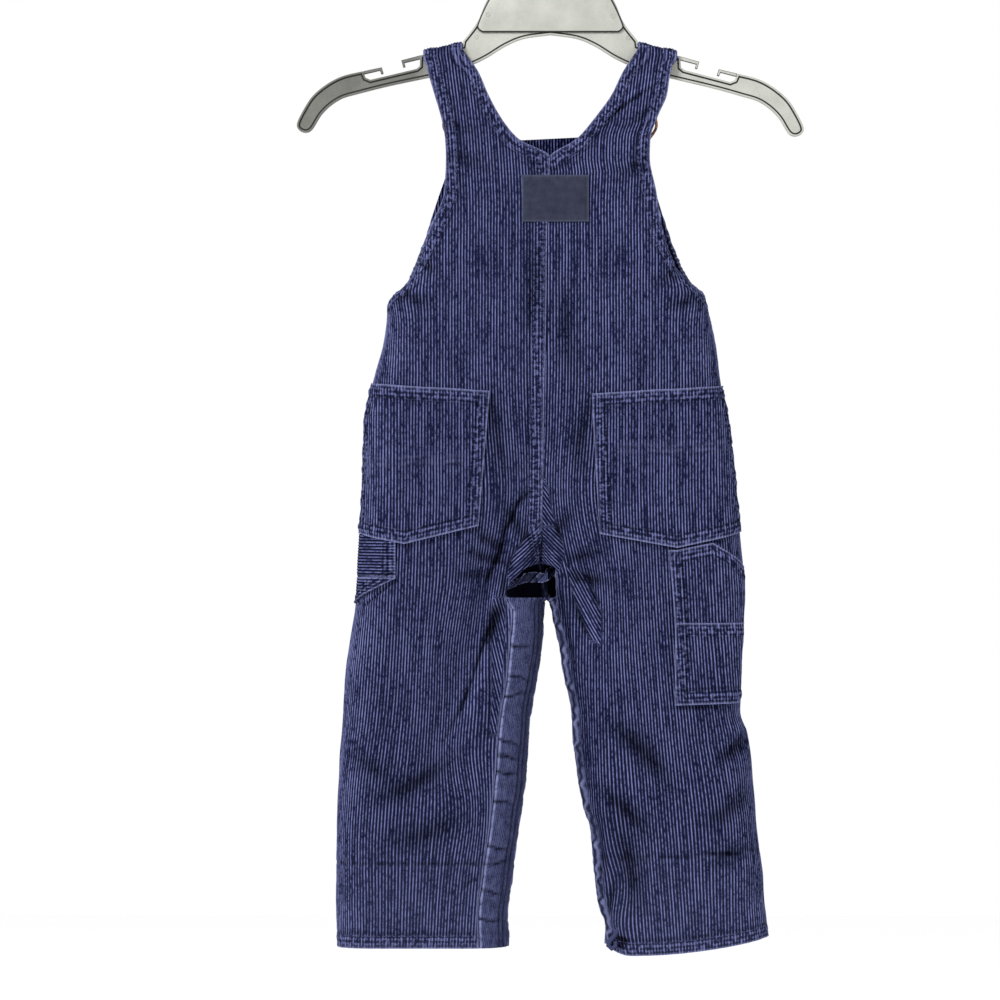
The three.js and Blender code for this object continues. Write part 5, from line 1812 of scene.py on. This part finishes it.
def curve_through(points, closed=False, steps=CURVE_STEPS):
    """A smooth run of places through the given ones."""
    points = np.array(points, float)
    count = len(points)
    path = []
    for i in range(count if closed else count - 1):
        if closed:
            a, b, c, d = (points[(i + k) % count] for k in (-1, 0, 1, 2))
        else:
            a, b = points[max(i - 1, 0)], points[i]
            c, d = points[i + 1], points[min(i + 2, count - 1)]
        for t in np.arange(steps) / steps:
            path.append(0.5 * (2 * b + (c - a) * t + (2 * a - 5 * b + 4 * c - d) * t ** 2
                               + (3 * b - a - 3 * c + d) * t ** 3))
    if not closed:
        path.append(points[-1])
    return np.array(path)


def droop(points):
    """The right arm's own places, a little lower towards its tip."""
    lower = RIGHT_DROOP * np.maximum(0, (points[:, 0] - DROOP_FROM) / (HANGER_SPAN - DROOP_FROM))
    return np.stack([points[:, 0], points[:, 1] - lower], axis=1)


def both_sides(half_points):
    """The whole outline, anticlockwise seen from the back of the garment."""
    right = droop(half_points)
    left = np.stack([-half_points[:, 0], half_points[:, 1]], axis=1)
    keep = right[:, 0] > 0.01
    return np.concatenate([left, right[keep][::-1]])


def inset(outline, distance):
    before = outline - np.roll(outline, 1, axis=0)
    after = np.roll(outline, -1, axis=0) - outline
    before /= np.linalg.norm(before, axis=1, keepdims=True) + 1e-9
    after /= np.linalg.norm(after, axis=1, keepdims=True) + 1e-9
    inward = np.stack([-(before + after)[:, 1], (before + after)[:, 0]], axis=1)
    scale = np.maximum(np.linalg.norm(inward, axis=1) / 2, 0.6)
    inward /= np.linalg.norm(inward, axis=1, keepdims=True) + 1e-9
    area = 0.5 * np.sum(outline[:, 0] * np.roll(outline[:, 1], -1)
                        - np.roll(outline[:, 0], -1) * outline[:, 1])
    return outline + inward * (distance / scale)[:, None] * math.copysign(1, area)


def add_slab(builder, outline, ring_sizes, groove_shadow_layer):
    """A closed plate from an outline. Each ring size is an inset, a depth and a share of painted
    shadow.
    """
    steps = [(size, -1) for size in ring_sizes[::-1]] + [(size, 1) for size in ring_sizes]
    rings = []
    for (distance, depth, dark), side in steps:
        ring = []
        for x, z in inset(outline, distance):
            vertex = builder.verts.new((x * METRE, side * depth * METRE, z * METRE))
            vertex[groove_shadow_layer] = dark
            ring.append(vertex)
        rings.append(ring)
    count = len(outline)
    for near, far in zip(rings[:-1], rings[1:]):
        for i in range(count):
            j = (i + 1) % count
            builder.faces.new((near[i], near[j], far[j], far[i]))
    caps = [builder.faces.new(rings[0]), builder.faces.new(rings[-1])]
    builder.normal_update()
    bmesh.ops.triangulate(builder, faces=caps)


def plastic_material():
    """Smoky grey plastic, paler in the middle, with cloudy scuffs, and painted shadow in the grooves
    along the arms' edges and round the fingers and the middle plate.
    """
    material, tree, shader = new_material("grey plastic", 0.42, 0.25)
    place = tree.nodes.new("ShaderNodeTexCoord").outputs["Object"]
    cloud = node_noise(tree, place, 60.0, 4.0, 0.6)
    grain = node_noise(tree, place, 700.0, 2.0)
    left_arm = remap(tree, node_parts(tree, place)[0], *ARM_DARKENS)
    tint = node_sum(tree, ((cloud, 0.9), (grain, 0.25)), 0.1, clamp=True)
    pale = node_mix(tree, tint, *PALE_PLASTIC)
    dark = node_mix(tree, tint, *DARK_PLASTIC)
    colour = node_mix(tree, left_arm, pale, dark)
    # Painted shadow on the rings marked for it.
    edge = remap(tree, node_attribute(tree, "edge"), 0.05, 0.45)
    colour = node_mix(tree, edge, colour, GROOVE_SHADOW_PLASTIC)
    finish_shader(tree, shader, colour, grain, 0.15, 0.2)
    return material


PLASTIC = plastic_material()
builder = bmesh.new()
groove_shadow_layer = builder.verts.layers.float.new("edge")
half_outline = np.concatenate([curve_through(ARM_TOP), np.array(STRAP_REST), np.array(NOTCH),
                               curve_through(ARM_OVER)])
add_slab(builder, both_sides(half_outline), ARM_RINGS, groove_shadow_layer)
for finger in FINGERS:
    points = np.array(finger, float)
    drooped = droop(points)
    for outline in (drooped, points * (-1, 1)):
        add_slab(builder, outline, FINGER_RINGS, groove_shadow_layer)
add_slab(builder, both_sides(curve_through(PLATE_EDGE)), PLATE_RINGS, groove_shadow_layer)
for x, z, depth in MARKS:
    turns = 2 * math.pi * np.arange(MARK_POINTS) / MARK_POINTS
    circle = [(x + MARK_RADIUS * math.cos(turn), -depth, z + MARK_RADIUS * math.sin(turn))
              for turn in turns]
    add_tube(builder, circle, MARK_WIRE, MARK_SIDES, True)
HOOK_ROD = 2.5
HOOK_CENTRE = -17.0
HOOK_TURN = 19.5
HOOK_SIDES = 16
HOOK_ARC = (-62, 205, 28)
hook_path = [(0, 0, -48), (0, 0, -44.6), (0.2, 0, -42.4), (2.2, 0, -39)]
for turn in np.radians(np.linspace(*HOOK_ARC)):
    hook_path.append((HOOK_TURN * math.cos(turn), 0, HOOK_CENTRE + HOOK_TURN * math.sin(turn)))
add_tube(builder, curve_through(hook_path, steps=3), HOOK_ROD, HOOK_SIDES, False)
piece = finished_piece("hanger_moulding", builder, PLASTIC)
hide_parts("hanger_centre", "hanger_arm_left", "hanger_arm_right", "notch_finger_inner_left",
            "notch_finger_inner_right", "notch_finger_outer_left", "notch_finger_outer_right", "hook")

# Bib fastenings
# Antique copper: a dome button riveted to each corner of the bib, and a bent wire clasp on the
# end of each strap, whose lower loop hooks under the button.
CLASP_OUTLINE = ((-13, 0), (0, -0.3), (13, 0), (14, 6), (14, 12), (8.5, 20), (4.4, 25), (4.4, 31),
                 (0, 35), (-4.4, 31), (-4.4, 25), (-8.5, 20), (-14, 12), (-14, 6))
CLASP_TOP = -129.2
WIRE_RADIUS = 0.9
WIRE_DEPTH = 13.8
WIRE_SIDES = 12
WIRE_SMOOTH = 60
BUTTON_SIDES = 40
BUTTON_SMOOTH = 35
COPPER_DARK = (0.020, 0.012, 0.009, 1)
COPPER_LIGHT = (0.17, 0.075, 0.042, 1)
BUTTON_X = 50.0
BUTTON_Z = -157.0
BUTTON_FOOT = 12.3
BUTTON_PROFILE = ((0, 0), (2.2, 0), (2.2, 3.0), (7.9, 3.0), (8.4, 3.3), (8.5, 3.8), (8.2, 4.3),
                  (7.2, 4.5), (6.8, 4.9), (5.0, 5.5), (2.6, 5.8), (0, 5.9))


def copper_material():
    material, tree, shader = new_material("antique copper", 0.38)
    shader.inputs["Metallic"].default_value = 0.95
    place = tree.nodes.new("ShaderNodeTexCoord").outputs["Object"]
    patina = node_noise(tree, place, 500.0, 4.0, 0.65)
    colour = node_mix(tree, remap(tree, patina, 0.35, 0.62), COPPER_DARK, COPPER_LIGHT)
    tree.links.new(colour, shader.inputs["Base Color"])
    tree.links.new(node_math(tree, "MULTIPLY_ADD", patina, 0.5, 0.15), shader.inputs["Roughness"])
    return material


COPPER = copper_material()
for half, sign in SIGN.items():
    builder = bmesh.new()
    loop = curve_through([(sign * BUTTON_X + x, CLASP_TOP - drop) for x, drop in CLASP_OUTLINE],
                         closed=True, steps=7)
    add_tube(builder, [(x, WIRE_DEPTH, z) for x, z in loop], WIRE_RADIUS, WIRE_SIDES, True)
    piece = finished_piece("clasp_wire_" + half, builder, COPPER, WIRE_SMOOTH)
    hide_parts("clasp_" + half)
    builder = bmesh.new()
    rings = []
    for radius, height in BUTTON_PROFILE[1:-1]:
        turns = 2 * math.pi * np.arange(BUTTON_SIDES) / BUTTON_SIDES
        rings.append([builder.verts.new(((sign * BUTTON_X + radius * math.cos(turn)) * METRE,
                                         (BUTTON_FOOT + height) * METRE,
                                         (BUTTON_Z + radius * math.sin(turn)) * METRE))
                      for turn in turns])
    for near, far in zip(rings[:-1], rings[1:]):
        for k in range(BUTTON_SIDES):
            n = (k + 1) % BUTTON_SIDES
            builder.faces.new((near[k], near[n], far[n], far[k]))
    builder.faces.new(rings[0])
    top = builder.verts.new((sign * BUTTON_X * METRE, (BUTTON_FOOT + BUTTON_PROFILE[-1][1]) * METRE,
                             BUTTON_Z * METRE))
    for k in range(BUTTON_SIDES):
        builder.faces.new((rings[-1][k], rings[-1][(k + 1) % BUTTON_SIDES], top))
    piece = finished_piece("bib_stud_" + half, builder, COPPER, BUTTON_SMOOTH)
    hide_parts("bib_button_" + half)
bpy.data.objects.remove(STITCH)

# Camera, light and floor
# The camera looks straight at the back of the garment. A thousand pixels span 600 mm.
VIEW_CENTRE = (-0.0303, 0.0, -0.366)
VIEW_WIDTH = 0.600
VIEW_DISTANCE = 3.0
SEEN_FACE = 0.015
camera_data = bpy.data.cameras.new("camera")
camera_data.sensor_width = 36.0
camera_data.lens = camera_data.sensor_width * VIEW_DISTANCE / VIEW_WIDTH
camera_data.clip_end = 60.0
camera = add_object("camera", camera_data)
camera.location = (VIEW_CENTRE[0], -VIEW_DISTANCE - SEEN_FACE, VIEW_CENTRE[2])
camera.rotation_euler = (math.radians(90), 0, 0)
bpy.context.scene.camera = camera

bpy.context.scene.view_settings.view_transform = "Standard"
world = bpy.data.worlds.new("studio")
world.use_nodes = True
world.node_tree.nodes["Background"].inputs["Color"].default_value = (1, 1, 1, 1)
world.node_tree.nodes["Background"].inputs["Strength"].default_value = 1.0
bpy.context.scene.world = world

LIGHTS = (
    ("key", (-1.3, -1.5, 0.9), 0.8, 105.0),
    ("fill", (1.5, -1.4, 0.1), 1.2, 26.0),
)
for name, place, size, power in LIGHTS:
    light_data = bpy.data.lights.new(name, "AREA")
    light_data.size = size
    light_data.energy = power
    light = add_object(name, light_data)
    light.location = place
    aim = Vector(VIEW_CENTRE) - Vector(place)
    light.rotation_euler = aim.to_track_quat("-Z", "Y").to_euler()

FLOOR_Z = -0.95
FLOOR_HALF = 4.0
floor_mesh = bpy.data.meshes.new("floor")
floor_mesh.from_pydata([(-FLOOR_HALF, -FLOOR_HALF, FLOOR_Z), (FLOOR_HALF, -FLOOR_HALF, FLOOR_Z),
                        (FLOOR_HALF, FLOOR_HALF, FLOOR_Z), (-FLOOR_HALF, FLOOR_HALF, FLOOR_Z)],
                       [], [(0, 1, 2, 3)])
floor_material, _, floor_shader = new_material("floor", 0.9)
floor_shader.inputs["Base Color"].default_value = (0.9, 0.9, 0.9, 1)
floor_mesh.materials.append(floor_material)
floor = add_object("floor", floor_mesh)
